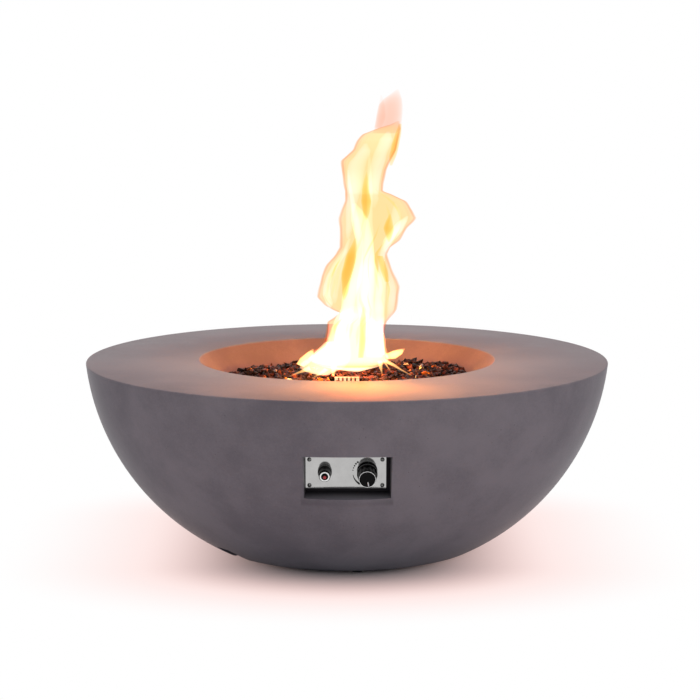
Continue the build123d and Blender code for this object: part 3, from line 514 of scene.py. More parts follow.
bright = finish("plated_ring", plated_ring, Metallic=1.0)
ring_form = [
    (0.01475, 0.0350), (0.01475, 0.0357), (0.0149, 0.03595), (0.0155, 0.03595), (0.0157, 0.0357),
    (0.0157, 0.0349),
]
made("knob_bright_ring", turned(ring_form, 128, True), bright, "knob", "bright_ring", ["knob_ring"], knob_place)


def white_inlay(place):
    grain = place.noise(1500.0, 2.0)
    return {"Base Color": grain.mix((0.72, 0.72, 0.71), (0.84, 0.84, 0.83)), "Roughness": grain * 0.2 + 0.3}


white = finish("white_inlay", white_inlay)
dress(white, "knob_pointer")


# Push-button igniter: a black ring nut against the plate, a ribbed black screw cap over its neck with a
# bright bezel on the end, and a black push button with a red spot. The cap unscrews to change the cell.

igniter_place = panel @ Matrix.Translation((-0.041, 0.0015, 0))


def knurl(turn, height):
    """Fine grip ribs round the lower part of the cap."""
    depth = 0.022 if 0.0085 < height < 0.0185 else 0
    return 1 - depth * (0.5 + 0.5 * math.cos(36 * turn))


nut_form = [
    (0.0098, 0), (0.0129, 0), (0.0130, 0.0004), (0.0130, 0.0060), (0.0127, 0.0067),
    (0.0122, 0.0070), (0.0098, 0.0070),
]
cap_form = [
    (0.0100, 0.0073), (0.0118, 0.0073), (0.0120, 0.0078), (0.01195, 0.0085), (0.0119, 0.0090),
    (0.0112, 0.0180), (0.01112, 0.0186), (0.0107, 0.0236), (0.0104, 0.0245), (0.0098, 0.0250),
    (0.0062, 0.0250), (0.0062, 0.0232), (0.0099, 0.0230),
]
bezel_form = [
    (0.0064, 0.0250), (0.0064, 0.0257), (0.0068, 0.0261), (0.0080, 0.0262), (0.0091, 0.0260),
    (0.0095, 0.0255), (0.0095, 0.0250),
]
button_form = [
    (0, 0.0230), (0.0060, 0.0230), (0.0060, 0.0284), (0.0057, 0.0290), (0.0051, 0.0293),
    (0.0040, 0.0294), (0, 0.0294),
]
dot_form = [
    (0, 0.0292), (0.0030, 0.0292), (0.0030, 0.0298), (0.0026, 0.0301), (0.0016, 0.0302),
    (0, 0.0302),
]


def red_spot(place):
    grain = place.noise(1200.0, 2.0)
    return {"Base Color": grain.mix((0.42, 0.012, 0.02), (0.6, 0.03, 0.04)), "Roughness": grain * 0.2 + 0.15}


red = finish("red_spot", red_spot)
for name, form, material, body, slot, node, sharp in (
    ("ring_nut", turned(nut_form, 96, True), black, "bowl", "black_plastic", "igniter_nut", 35),
    ("screw_cap", turned(cap_form, 288, True, knurl), black, "igniter_cap", "black_plastic", "igniter_cap", 50),
    ("bright_bezel", turned(bezel_form, 96, True), bright, "igniter_cap", "bright_ring", "igniter_bezel", 35),
    ("push_button", turned(button_form, 72), black, "button", "black_plastic", "igniter_button", 35),
    ("red_dot", turned(dot_form, 48), red, "button", "red_mark", "red_dot", 35),
):
    made(f"igniter_{name}", form, material, body, slot, [node], igniter_place, sharp)
dress(black, "igniter_barrel")


# Fire bed: crushed dark stone in a pan on the bowl's ledge. The stones are broken glassy lumps, nearly
# black, with rust and amber faces and here and there a pale one. They are tipped in and lie a little
# higher at the left and at the right and back.

chance = random.Random(41)
stone_tone = "stone_tone"


def broken_stone(place):
    tone = place.node("Attribute", {"attribute_name": stone_tone}, output="Fac")
    fleck = place.noise(340.0, 4.0, 0.65)
    vein = place.noise(120.0, 3.0)
    stops = [
        (0.0, (0.008, 0.004, 0.003)),
        (0.40, (0.018, 0.008, 0.006)),
        (0.60, (0.045, 0.014, 0.008)),
        (0.76, (0.11, 0.026, 0.009)),
        (0.88, (0.28, 0.08, 0.015)),
        (0.985, (0.42, 0.19, 0.06)),
        (1.0, (0.66, 0.6, 0.56)),
    ]
    colour = tone.node("ValToRGB", {"stops": stops}, {0: tone + (fleck - 0.5) * 0.16})
    colour = vein.between(0.62, 0.72).mix(colour, (0.09, 0.028, 0.01))
    return {
        "Base Color": colour,
        "Roughness": fleck.between(0.3, 0.7, 0.16, 0.5),
        "Normal": (fleck + vein).bump(0.0009, 0.5),
    }


crushed = finish("crushed_stone", broken_stone, Specular_IOR_Level=0.12)

lumps = []
for _ in range(40):
    lump = bmesh.new()
    for _ in range(chance.choice((8, 9, 10, 12))):
        spot = Vector((chance.gauss(0, 1), chance.gauss(0, 1), chance.gauss(0, 1))).normalized()
        stretch = Vector((chance.uniform(0.7, 1.0), chance.uniform(0.5, 0.9), chance.uniform(0.45, 0.8)))
        lump.verts.new(spot * stretch)
    hull = bmesh.ops.convex_hull(lump, input=lump.verts)
    inside = hull["geom_interior"] + hull["geom_unused"]
    spare = {item for item in inside if isinstance(item, bmesh.types.BMVert)}
    bmesh.ops.delete(lump, geom=list(spare), context="VERTS")
    lump.verts.index_update()
    corners = [vert.co.copy() for vert in lump.verts]
    lumps.append((corners, [[vert.index for vert in face.verts] for face in lump.faces]))
    lump.free()

bed_reach, lowest_bed, highest_stone = 0.27, 0.3285, 0.3735
bed_crown, dome_reach = 0.3415, 1.7645
hood_half_wide, hood_y, hood_half_deep = 0.036, -0.05, 0.021


def bed_height(x, y):
    """Height of the settled stones, a flat dome, under the loose ones."""
    dome = bed_crown - dome_reach + math.sqrt(dome_reach**2 - math.hypot(x, y) ** 2)
    return max(dome, lowest_bed)


def heap(x, y):
    """How far the bed is heaped up at a place, from piles of x, y, width, depth and height."""
    piles = (
        (-0.185, 0.060, 0.055, 0.090, 0.026),
        (-0.120, 0.130, 0.050, 0.050, 0.018),
        (0.200, 0.090, 0.055, 0.090, 0.034),
        (0.140, 0.150, 0.050, 0.050, 0.030),
        (0.235, 0.000, 0.035, 0.060, 0.022),
        (0.085, 0.190, 0.050, 0.035, 0.014),
        (-0.060, 0.205, 0.060, 0.030, 0.010),
        (0.020, 0.060, 0.110, 0.050, 0.010),
    )
    wall_reach, wall_rise = 0.235, 0.45
    rise = max(0, math.hypot(x, y) - wall_reach) * wall_rise
    for px, py, wide, deep, high in piles:
        rise = max(rise, high * math.exp(-(((x - px) / wide) ** 2) - ((y - py) / deep) ** 2))
    return rise


stones = []
for tries, spacing, low, high, share, least_rise in (
    (60000, 0.0098, 0.0075, 0.0115, 0.45, 0.0),
    (12000, 0.0115, 0.0065, 0.0105, 0.85, 0.005),
):
    taken = {}
    for _ in range(tries):
        reach, turn = bed_reach * math.sqrt(chance.random()), chance.uniform(0, 2 * math.pi)
        x, y = reach * math.cos(turn), reach * math.sin(turn)
        cell = (int(x // spacing), int(y // spacing))
        near = [taken.get((cell[0] + a, cell[1] + b)) for a in (-1, 0, 1) for b in (-1, 0, 1)]
        if any(spot and math.dist(spot, (x, y)) < spacing for spot in near):
            continue
        if abs(x) < hood_half_wide and abs(y - hood_y) < hood_half_deep:
            continue
        rise = heap(x, y)
        if rise < least_rise:
            continue
        taken[cell] = (x, y)
        size = chance.uniform(low, high)
        height = min(bed_height(x, y) + rise * share + 0.5 * size, highest_stone - size)
        wall = well_foot + (height - ledge_top) * 0.8
        if math.hypot(x, y) + 0.9 * size > wall:
            continue
        stones.append((Vector((x, y, height)), size))

stone_mesh = bpy.data.meshes.new("crushed_stones")
points, faces, tones = [], [], []
for middle, size in stones:
    corners, sides = chance.choice(lumps)
    spin = Matrix.Rotation(chance.uniform(0, 6.28), 3, "Z") @ Matrix.Rotation(chance.uniform(-0.9, 0.9), 3, "X")
    base = len(points)
    tone = min(chance.betavariate(1.6, 2.2) * 0.98, 0.97)
    if chance.random() < 0.012:
        tone = 1.0
    for corner in corners:
        points.append(middle + spin @ corner * size)
        tones.append(tone)
    faces += [[base + index for index in side] for side in sides]
stone_mesh.from_pydata(points, [], faces)
stone_mesh.attributes.new(stone_tone, "FLOAT", "POINT").data.foreach_set("value", tones)
stone_mesh.materials.append(crushed)
loose = bpy.data.objects.new("crushed_stones", stone_mesh)
bpy.context.scene.collection.objects.link(loose)
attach(loose, "bowl")
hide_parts("lava_rock")


def settled_stone(place):
    lumps_per_metre = 85.0
    lump = place.node("SeparateColor", None, {0: place.cells(lumps_per_metre, "Color")}, "Red")
    edge = place.cells(lumps_per_metre).between(0.25, 0.6, 1.0, 0.0)
    return {
        "Base Color": lump.between(0.3, 1.0).mix((0.006, 0.005, 0.005), (0.045, 0.018, 0.01)),
        "Roughness": lump.between(0.0, 1.0, 0.25, 0.6),
        "Normal": edge.bump(0.006, 0.8),
    }


dress(finish("settled_stone", settled_stone), "rock_fill")


# Hood: folded stainless cover with slots that stands among the stones over the spark and the sensor. The
# shelf, the ring burner and its posts are of the same sheet and bar, all tinted straw and bronze by heat.


def heated_steel(place):
    stain = place.noise(45.0, 4.0)
    scratch = place.scaled(8, 1, 1).noise(160.0, 3.0)
    return {
        "Base Color": stain.between(0.3, 0.7).mix((0.4, 0.26, 0.09), (0.5, 0.4, 0.24)),
        "Roughness": scratch.between(0.3, 0.7, 0.24, 0.4),
        "Normal": scratch.bump(0.00005, 0.5),
    }


tinted = finish("heated_steel", heated_steel, Metallic=1.0)
dress(tinted, "ignition_hood", "probe_bracket", "ring_burner", "burner_supports")


# Gas works: all that is below the stones hangs from the pan and the panel. The pan and the air shutter are
# dull sheet, the valve and the mixing tube are die cast, the fittings and nuts are turned from brass, and
# the inlet's bracket is black coated sheet, screwed on over the notch.


def plain_steel(place):
    scratch = place.scaled(1, 8, 8).noise(300.0, 3.0)
    stain = place.noise(160.0, 3.0)
    return {
        "Base Color": stain.mix((0.36, 0.35, 0.34), (0.58, 0.57, 0.56)),
        "Roughness": scratch.between(0.25, 0.75, 0.22, 0.4),
        "Normal": scratch.bump(0.00003, 0.4),
    }


def dull_sheet(place):
    stain = place.noise(18.0, 5.0, 0.6)
    scratch = place.scaled(3, 1, 1).noise(220.0, 3.0)
    return {
        "Base Color": stain.between(0.3, 0.7).mix((0.2, 0.185, 0.175), (0.36, 0.35, 0.34)),
        "Roughness": scratch.between(0.3, 0.7, 0.35, 0.55),
        "Normal": scratch.bump(0.00005, 0.5),
    }


def machined_brass(place):
    turning = place.scaled(1, 1, 12).noise(260.0, 2.0)
    tarnish = place.noise(70.0, 4.0)
    return {
        "Base Color": tarnish.between(0.3, 0.75).mix((0.62, 0.43, 0.17), (0.42, 0.29, 0.13)),
        "Roughness": turning.between(0.3, 0.7, 0.2, 0.38),
        "Normal": turning.bump(0.00003, 0.5),
    }


def die_casting(place):
    skin = place.noise(900.0, 3.0)
    flow = place.noise(60.0, 3.0)
    return {
        "Base Color": flow.mix((0.42, 0.42, 0.44), (0.58, 0.58, 0.6)),
        "Roughness": skin.between(0.3, 0.7, 0.38, 0.56),
        "Normal": skin.bump(0.00006, 0.6),
    }


def coated_sheet(place):
    skin = place.noise(700.0, 3.0)
    return {
        "Base Color": skin.mix((0.018, 0.018, 0.019), (0.035, 0.035, 0.036)),
        "Roughness": skin.between(0.3, 0.7, 0.45, 0.65),
        "Normal": skin.bump(0.00006, 0.6),
    }


def copper_tube(place):
    tarnish = place.noise(120.0, 4.0)
    return {
        "Base Color": tarnish.between(0.3, 0.7).mix((0.68, 0.33, 0.18), (0.4, 0.2, 0.12)),
        "Roughness": tarnish.between(0.3, 0.7, 0.25, 0.42),
    }


def glazed_ceramic(place):
    speck = place.noise(900.0, 3.0)
    return {
        "Base Color": speck.between(0.3, 0.7).mix((0.74, 0.71, 0.66), (0.82, 0.8, 0.76)),
        "Roughness": speck.between(0.3, 0.7, 0.18, 0.3),
    }


def cell_sleeve(place):
    speck = place.noise(600.0, 2.0)
    return {
        "Base Color": speck.mix((0.07, 0.08, 0.1), (0.1, 0.11, 0.13)),
        "Roughness": speck.between(0.3, 0.7, 0.28, 0.4),
    }


steel = finish("plain_steel", plain_steel, Metallic=1.0)
brass = finish("machined_brass", machined_brass, Metallic=1.0)
copper = finish("copper_tube", copper_tube, Metallic=1.0)
dress(finish("dull_sheet", dull_sheet, Metallic=1.0), "burner_pan", "air_shutter")
dress(finish("die_casting", die_casting, Metallic=1.0), "gas_valve", "air_mixer")
dress(finish("coated_sheet", coated_sheet), "inlet_bracket")
dress(finish("glazed_ceramic", glazed_ceramic), "electrode_ceramic")
dress(finish("cell_sleeve", cell_sleeve), "battery")
dress(brass, "plate_inserts", "valve_nut", "valve_plug", "magnet_unit", "gas_jet", "gas_inlet")
dress(brass, "burner_locknuts", "inlet_backnut", "hose_nuts", "sensor_nut")
dress(steel, "valve_stem", "knob_spring", "button_spring", "bracket_screws", "hood_screws", "electrode_wire")
dress(copper, "flame_sensor")


# Hoses and leads: two black rubber gas hoses run from the valve, one to the jet under the burner and one
# to the inlet. A lead in a red silicone sleeve runs from the igniter to its electrode, and a thin copper
# tube from the sensor to the valve. All four hang free between their nuts and plugs.


def smooth_run(name, points, diameter, material, node):
    """A hose or lead on one smooth line through its route's control points."""
    line = bpy.data.curves.new(name, "CURVE")
    line.dimensions = "3D"
    route = line.splines.new("NURBS")
    route.points.add(len(points) - 1)
    for point, place in zip(route.points, points):
        point.co = (*place, 1)
    route.order_u = 3
    route.use_endpoint_u = True
    route.resolution_u = 16
    line.materials.append(material)
    piece = bpy.data.objects.new(name, line)
    bpy.context.scene.collection.objects.link(piece)
    thread = bpy.data.meshes.new_from_object(piece.evaluated_get(bpy.context.evaluated_depsgraph_get()))
    bpy.data.meshes.remove(thread)
    line.bevel_depth = diameter / 2
    line.bevel_resolution = 5
    line.use_fill_caps = True
    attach(piece, "bowl")
    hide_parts(node)


def dusty_rubber(place):
    grain = place.noise(700.0, 3.0)
    dust = place.noise(40.0, 3.0)
    return {
        "Base Color": dust.between(0.35, 0.75).mix((0.012, 0.012, 0.012), (0.03, 0.029, 0.027)),
        "Roughness": grain.between(0.3, 0.7, 0.5, 0.68),
        "Normal": grain.bump(0.0001, 0.5),
    }


def silicone_sleeve(place):
    grain = place.noise(500.0, 3.0)
    return {"Base Color": grain.mix((0.42, 0.06, 0.035), (0.55, 0.1, 0.06)), "Roughness": grain * 0.2 + 0.45}


hose_rubber = finish("hose_rubber", dusty_rubber)
sleeve = finish("silicone_sleeve", silicone_sleeve)
hose_width, lead_width = 0.011, 0.0032
for name, points, width, material, slot, node in (
    ("burner_gas_hose", [
        (0.0515, -0.40819, 0.20589), (0.0515, -0.39638, 0.13892), (0.04277, -0.32919, 0.13317),
        (0.01104, -0.08498, 0.11227), (0.0, 0.0, 0.105), (0.0, 0.0, 0.191),
    ], hose_width, hose_rubber, "hose_rubber", "burner_hose"),
    ("inlet_gas_hose", [
        (0.0235, -0.40819, 0.20589), (0.0235, -0.39638, 0.13892), (-0.01223, -0.33860, 0.14196),
        (-0.11193, -0.17735, 0.15046), (-0.14766, -0.11957, 0.1535), (-0.14766, -0.11957, 0.0855),
    ], hose_width, hose_rubber, "hose_rubber", "inlet_hose"),
    ("spark_lead", [
        (-0.012, -0.05, 0.3005), (-0.012, -0.05, 0.238), (-0.0181, -0.11206, 0.24225),
        (-0.03709, -0.30509, 0.25547), (-0.041, -0.34481, 0.258189), (-0.041, -0.384202, 0.251243),
    ], lead_width, sleeve, "lead_cover", "igniter_lead"),
    ("sensor_capillary", [
        (0.012, -0.05, 0.2965), (0.012, -0.05, 0.238), (0.01693, -0.10819, 0.2414),
        (0.03413, -0.31116, 0.25326), (0.0375, -0.350951, 0.255583), (0.0375, -0.390343, 0.248637),
    ], lead_width, copper, "copper_line", "sensor_lead"),
):
    smooth_run(name, points, width, material, node)


# Flames: they stand on the stones over the burner. They are light and hot gas and aren't a piece of the
# object. Each part is a closed skin full of even gas that glows or takes colour away: a clear outer skin
# with a salmon edge, yellow gas inside it, and a whiter heart and foot.


def glowing_gas(name, glow, strength, absorbed):
    """Even gas that gives off one colour and takes some of each colour away, per metre."""
    material = bpy.data.materials.new(name)
    material.use_nodes = True
    tree = material.node_tree
    tree.nodes.remove(tree.nodes["Principled BSDF"])
    gas = Flow(tree)
    most = max(absorbed)
    kept = tuple(1 - share / most for share in absorbed)
    light = gas.node("Emission", None, {"Color": glow, "Strength": strength})
    shade = gas.node("VolumeAbsorption", None, {"Color": kept, "Density": most})
    both = gas.node("AddShader", None, {0: light, 1: shade})
    tree.links.new(both.socket, tree.nodes["Material Output"].inputs["Volume"])
    return material


def soft_edge(points):
    """The same edge with a soft bend at each point."""
    spots = [Vector(point) for point in points]
    bends = [(after - before) / 6 for before, after in zip([spots[0], *spots[1:]], [*spots[1:], spots[-1]])]
    line = []
    for k, (start, end) in enumerate(zip(spots, spots[1:])):
        line += interpolate_bezier(start, start + bends[k], end - bends[k + 1], end, 6)[:-1]
    return [*line, spots[-1]]


def flame_part(name, edges, thick, material, y=0.02, inset=0.0, ragged=0.0022):
    """Closed skin between a left and a right edge, from (left, right) pairs of points in an upright plane."""
    sides = 20
    form = bmesh.new()
    rings = []
    for left, right in zip(soft_edge([row[0] for row in edges]), soft_edge([row[1] for row in edges])):
        middle, half = (left + right) / 2, (right - left) / 2
        width = max(half.length - inset, 0.0004)
        side = half.normalized()
        depth = min(width * 0.75, thick)
        ring = []
        for k in range(sides):
            turn = 2 * math.pi * k / sides
            x = middle.x + side.x * width * math.cos(turn)
            z = middle.y + side.y * width * math.cos(turn)
            spot = Vector((x, y + depth * math.sin(turn), z))
            wave = noise.noise(Vector((spot.x * 60, spot.y * 60, spot.z * 34)))
            ring.append(form.verts.new(spot + Vector((wave, 0, 0)) * ragged * min(1, width / 0.01)))
        rings.append(ring)
    for lower, upper in zip(rings, rings[1:]):
        for k in range(sides):
            after = (k + 1) % sides
            form.faces.new((lower[k], lower[after], upper[after], upper[k]))
    form.faces.new(rings[0])
    form.faces.new(rings[-1])
    piece = made(name, form, material, None, None)
    piece.visible_shadow = False
    piece.visible_diffuse = False


def level(rows):
    """Edges at level heights, from rows of height, left and right in millimetres."""
    return [((left / 1000, z / 1000), (right / 1000, z / 1000)) for z, left, right in rows]


clear_skin = glowing_gas("flame_skin", (1.0, 0.35, 0.12), 9.0, (0.0, 26.0, 44.0))
yellow_gas = glowing_gas("flame_gas", (1.0, 0.31, 0.31), 80.0, (0.0, 3.0, 8.0))
tip_gas = glowing_gas("flame_tip", (1.0, 0.3, 0.2), 3.0, (0.0, 12.0, 17.0))
heart_gas = glowing_gas("flame_heart", (1.0, 0.4, 0.48), 105.0, (0.0, 1.0, 1.0))
white_gas = glowing_gas("flame_core", (1.0, 0.5, 0.8), 55.0, (0.0, 1.0, 1.0))
amber_gas = glowing_gas("flame_pocket", (1.0, 0.3, 0.05), 4.0, (0.0, 22.0, 90.0))
cream_gas = glowing_gas("flame_veil", (1.0, 0.5, 0.1), 3.0, (0.0, 6.0, 42.0))
tongue_gas = glowing_gas("flame_tongue", (1.0, 0.5, 0.17), 260.0, (0.0, 1.0, 1.0))
foot_gas = glowing_gas("flame_foot", (1.0, 0.6, 0.34), 85.0, (0.0, 1.0, 1.0))
pale_gas = glowing_gas("flame_pale", (1.0, 0.3, 0.5), 34.0, (0.0, 0.5, 0.5))

column = level((
    (366, -52, 60), (375, -80, 88), (384, -86, 94), (398, -72, 86), (412, -50, 81), (440, -44, 78),
    (459, -40, 83), (469, -26, 91), (479, -18, 99), (486, -34, 103), (497, -50, 105), (512, -63, 107),
    (533, -59, 109), (556, -53, 99), (578, -42, 91), (600, -23, 83), (614, -16, 91), (630, -16, 110),
    (655, -16, 126), (674, -17, 142), (691, -12, 134), (709, -5, 120), (721, -5, 94), (730, -5, 75),
    (747, -8, 76), (772, -12, 82), (792, -11, 91), (814, 12, 102), (832, 21, 106), (845, 34, 108),
    (856, 62, 110), (864, 88, 108), (871, 102, 107),
))
flame_part("flame_skin", column, 0.036, clear_skin)
flame_part("flame_gas", column[1:], 0.028, yellow_gas, inset=0.0045)

# The broad parts of the flames: two tips over the column, a whiter heart in it, and a foot that spreads
# over the stones.

for name, gas, thick, y, rows in (
    ("tip", tip_gas, 0.026, 0.02, (
        (846, 50, 100), (857, 56, 110), (885, 60, 113), (905, 65, 113), (917, 76, 112), (928, 92, 109),
        (935, 101, 105),
    )),
    ("tip_left", tip_gas, 0.014, 0.0, (
        (858, 54, 70), (880, 60, 78), (900, 64, 78), (915, 66, 74), (924, 67, 70),
    )),
    ("heart", heart_gas, 0.018, 0.02, (
        (368, -46, 58), (376, -72, 80), (388, -70, 82), (408, -44, 79), (428, -36, 76), (469, -24, 76),
        (489, -13, 77), (509, -12, 71), (529, -6, 74), (550, 5, 71), (570, 13, 62), (590, 18, 58),
        (610, 21, 57), (630, 17, 54), (650, 11, 49), (671, 7, 44), (691, 8, 30), (703, 10, 20),
    )),
    ("foot", foot_gas, 0.02, 0.02, (
        (355, 18, 26), (360, -24, 46), (366, -54, 66), (376, -76, 84), (388, -74, 88), (408, -46, 82),
        (428, -40, 78), (450, -30, 70), (472, -10, 50), (492, 8, 24),
    )),
    ("spread", foot_gas, 0.012, -0.008, (
        (352, -58, -38), (359, -86, -24), (368, -97, -4), (378, -94, 4), (390, -78, 0), (405, -60, -10),
        (421, -45, -24),
    )),
):
    flame_part(f"flame_{name}", level(rows), thick, gas, y=y)

# The fine parts of the flames, from back to front: white-hot strands, pale leaves, and darker amber
# pockets.

for kind, gas, thick, y, parts in (
    ("strand", white_gas, 0.012, 0.01, {
        "left": (
            (376, -36, 5), (396, -30, 9), (428, -26, 7), (469, -16, 13), (509, -7, 19), (549, 3, 31),
            (590, 14, 34), (630, 17, 34), (671, 12, 25), (703, 7, 17), (743, 2, 9), (772, 1, 4),
        ),
        "middle": (
            (388, 39, 74), (428, 36, 62), (469, 25, 57), (509, 19, 55), (549, 21, 57), (590, 29, 57),
            (630, 34, 55), (671, 39, 53), (711, 40, 53), (751, 40, 51), (792, 42, 49), (812, 44, 46),
        ),
        "right": (
            (392, 51, 78), (428, 55, 76), (489, 55, 78), (549, 62, 80), (590, 66, 77), (606, 68, 82),
            (630, 74, 98), (650, 90, 114), (668, 106, 124), (678, 121, 126),
        ),
        "outer": (
            (488, -37, -33), (500, -43, -28), (517, -50, -34), (537, -48, -34), (560, -40, -26),
            (584, -26, -13), (608, -9, 2), (632, 3, 8),
        ),
    }),
    ("pale", pale_gas, 0.011, 0.0, {
        "left": (
            (632, 0, 5), (655, -4, 12), (690, -3, 16), (725, 0, 26), (762, -1, 34), (790, 6, 40),
            (812, 24, 48), (826, 34, 42),
        ),
        "middle": (
            (696, 52, 58), (716, 46, 66), (745, 42, 66), (780, 46, 74), (812, 56, 84), (835, 66, 92),
            (850, 80, 88),
        ),
        "leaf": ((606, 74, 80), (625, 76, 92), (650, 82, 106), (672, 88, 112), (692, 92, 108), (705, 96, 100)),
        "bulge": (
            (500, -28, -22), (516, -38, -18), (540, -36, -14), (570, -26, -6), (596, -12, 2), (612, -4, 0),
        ),
        "right": ((462, 80, 86), (482, 82, 96), (510, 82, 100), (535, 82, 100), (556, 84, 94), (572, 84, 88)),
    }),
    ("pocket", amber_gas, 0.009, -0.007, {
        "left": ((508, -8, -4), (525, -11, 3), (566, -11, 12), (598, -3, 20), (622, 10, 20), (634, 15, 18)),
        "top": ((672, 38, 41), (687, 32, 46), (711, 28, 50), (735, 30, 46), (756, 35, 44), (770, 39, 41)),
        "right": ((626, 84, 87), (638, 79, 92), (655, 75, 96), (671, 80, 93), (684, 86, 89)),
        "side": ((545, 77, 86), (570, 68, 83), (598, 62, 74)),
        "low": ((388, 23, 34), (428, 25, 39), (469, 27, 39), (493, 32, 35)),
        "crest": ((782, 86, 92), (802, 86, 100), (826, 90, 107), (846, 98, 110), (866, 105, 111)),
    }),
):
    for name, rows in parts.items():
        flame_part(f"flame_{kind}_{name}", level(rows), thick, gas, y=y)

# Thin veils of cream and amber run up the column, each at its own share of the way across it, and small
# bright tongues lick out over the stones at its foot.

veil_chance = random.Random(7)
for number in range(34):
    low = veil_chance.uniform(384, 690)
    tall = veil_chance.uniform(35, 95)
    share = veil_chance.uniform(0.1, 0.9)
    wide = veil_chance.uniform(1.6, 4.6)
    rows = []
    for part in (0.0, 0.2, 0.45, 0.7, 0.9, 1.0):
        z = low + tall * part
        step = next(k for k, row in enumerate(column) if row[0][1] * 1000 > z)
        under, over = column[step - 1], column[step]
        blend = (z / 1000 - under[0][1]) / (over[0][1] - under[0][1])
        left, right = (under[side][0] + (over[side][0] - under[side][0]) * blend for side in (0, 1))
        middle = (left + (right - left) * share) * 1000
        half = wide * math.sin(math.pi * (0.06 + 0.9 * part))
        rows.append((z, middle - half, middle + half))
    gas = amber_gas if number % 4 == 0 else cream_gas
    flame_part(f"flame_veil_{number + 1}", level(rows), 0.008, gas, y=-0.007)
tongues = {
    "left_high": ((-104, 376, -88, 370), (-96, 388, -74, 380), (-82, 400, -68, 394), (-70, 407, -68, 406)),
    "left_low": ((-78, 372, -74, 362), (-96, 362, -94, 357), (-112, 354, -111, 352), (-122, 349.5, -121.5, 349)),
    "front_left": ((-34, 374, -20, 374), (-32, 358, -24, 358), (-31, 345, -27, 345), (-30.5, 336, -29, 336)),
    "front_mid": ((-46, 368, -38, 362), (-58, 357, -52, 354), (-70, 348, -68, 347), (-78, 343, -77.5, 342.5)),
    "front_low": ((62, 382, 74, 382), (66, 368, 73, 368), (70, 358, 73, 358), (72, 351, 72.5, 351)),
    "right_front": ((72, 386, 80, 380), (80, 372, 85, 370), (88, 362, 90, 361), (94, 356, 94.3, 355.8)),
    "right_low": ((76, 388, 82, 376), (98, 376, 98, 369), (114, 364, 115, 360), (134, 352, 133, 351)),
    "right_leaf": ((78, 396, 82, 386), (96, 404, 100, 387), (110, 407, 114, 397), (120, 408, 119, 407)),
}
for name, rows in tongues.items():
    edges = [((x / 1000, z / 1000), (other_x / 1000, other_z / 1000)) for x, z, other_x, other_z in rows]
    flame_part(f"flame_tongue_{name}", edges, 0.006, tongue_gas, y=-0.012, ragged=0.0012)


# Firelight: the flames' own glow doesn't reach the bowl, so small warm lamps light it in their place: two
# in the flames, three over the front of the rim, and a row close over the stones.


def lamp(name, kind, place, power, colour):
    """A lamp that the camera doesn't see."""
    light = bpy.data.objects.new(name, bpy.data.lights.new(name, kind))
    light.data.energy = power
    light.data.color = colour
    light.location = place
    light.visible_camera = False
    bpy.context.scene.collection.objects.link(light)
    return light


deep_orange, warm_orange, ember = (1.0, 0.28, 0.04), (1.0, 0.33, 0.03), (1.0, 0.6, 0.1)
for number, (place, power, colour, size) in enumerate((
    ((0.0, 0.0, 0.41), 1.7, deep_orange, 0.05),
    ((0.03, 0.02, 0.52), 2.1, deep_orange, 0.05),
    ((0.03, -0.41, 0.54), 3.4, warm_orange, 0.06),
    ((-0.02, -0.35, 0.46), 0.9, warm_orange, 0.04),
    ((0.07, -0.35, 0.46), 0.9, warm_orange, 0.04),
    ((-0.09, -0.09, 0.375), 0.6, ember, 0.012),
    ((-0.045, -0.13, 0.373), 0.7, ember, 0.012),
    ((0.005, -0.15, 0.372), 0.7, ember, 0.012),
    ((0.05, -0.13, 0.373), 0.7, ember, 0.012),
    ((0.095, -0.09, 0.376), 0.6, ember, 0.012),
)):
    light = lamp(f"firelight_{number + 1}", "POINT", place, power, colour)
    light.data.shadow_soft_size = size
    light.visible_glossy = False


# Studio: a plain white floor and surroundings, with broad warm light from above and a little cooler light
# from the right and the left. The floor keeps the bowl's shadow and turns plain white further out.


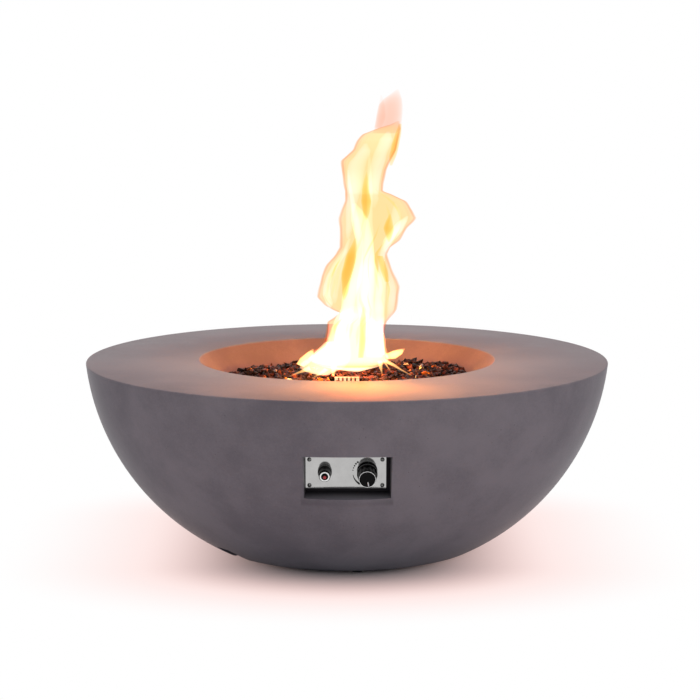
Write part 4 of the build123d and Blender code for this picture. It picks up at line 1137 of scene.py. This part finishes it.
def floor_paint(material):
    """White paint near the bowl and plain white light further out, with pink light painted where the one turns
    into the other as a painted warm edge to the bowl's shadow.
    """
    tree = material.node_tree
    place = Flow(tree).node("TexCoord", output="Object")
    x, y = (place.node("SeparateXYZ", None, {0: place}, output=axis) for axis in ("X", "Y"))
    sideways = x * 0.62
    forward = y.maths("MAXIMUM", (y * y) ** 0.5 - 0.2, 0.0)
    reach = (sideways * sideways + forward * forward) ** 0.5
    camera_ray, glossy_ray = (place.node("LightPath", output=f"Is {kind} Ray") for kind in ("Camera", "Glossy"))
    paint = tree.nodes["Principled BSDF"]
    paint.inputs["Roughness"].default_value = 0.9
    paint.inputs["Specular IOR Level"].default_value = 0.1
    feed(tree, paint.inputs["Base Color"], camera_ray.mix((0.78, 0.79, 0.84), (0.9, 0.8, 0.77)))
    # Painted shade: a pink glow round the bowl tints the edge of its shadow warm.
    shadow_edge_glow = place.node("Emission", None, {"Color": (1.0, 0.7, 0.66), "Strength": 1.0})
    white_light = place.node("Emission", None, {"Color": (1.0, 1.0, 1.0), "Strength": 1.0})
    plain = place.node("MixShader", None, {0: reach.between(0.09, 0.45), 1: shadow_edge_glow, 2: white_light})
    factor = reach.between(0.055, 0.265) * (camera_ray + glossy_ray).between(0.0, 1.0)
    seen = place.node("MixShader", None, {0: factor, 1: Flow(tree, paint.outputs[0]), 2: plain})
    tree.links.new(seen.socket, tree.nodes["Material Output"].inputs["Surface"])


floor_material = bpy.data.materials.new("floor_paint")
floor_material.use_nodes = True
floor_paint(floor_material)
floor = made("floor", turned([(0, -0.0005), (12, -0.0005)], 64), floor_material, None, None)

world = bpy.data.worlds.new("studio")
bpy.context.scene.world = world
world.use_nodes = True
sky = Flow(world.node_tree)
rays = [sky.node("LightPath", output=f"Is {kind} Ray") for kind in ("Camera", "Glossy", "Transmission")]
seen_white = (rays[0] + rays[1] + rays[2]).between(0.0, 1.0)
background = world.node_tree.nodes["Background"]
feed(world.node_tree, background.inputs["Color"], seen_white.mix((0.85, 0.93, 1.0), (1.0, 1.0, 1.0)))
feed(world.node_tree, background.inputs["Strength"], seen_white * 0.55 + 0.45)

rosy, cool = (1.0, 0.64, 0.56), (0.96, 0.97, 1.0)
for name, place, size, power, colour, aim in (
    ("overhead", (0, -0.3, 3.6), 3.2, 60, rosy, (0, 0, 0.3)),
    ("right_softbox", (3.0, -2.2, 1.6), 1.8, 15, cool, (0, 0, 0.25)),
    ("left_softbox", (-3.2, -2.4, 1.6), 1.6, 8, cool, (0, 0, 0.25)),
):
    light = lamp(name, "AREA", place, power, colour)
    light.data.size = size
    light.rotation_euler = (Vector(aim) - Vector(place)).to_track_quat("-Z", "Y").to_euler()
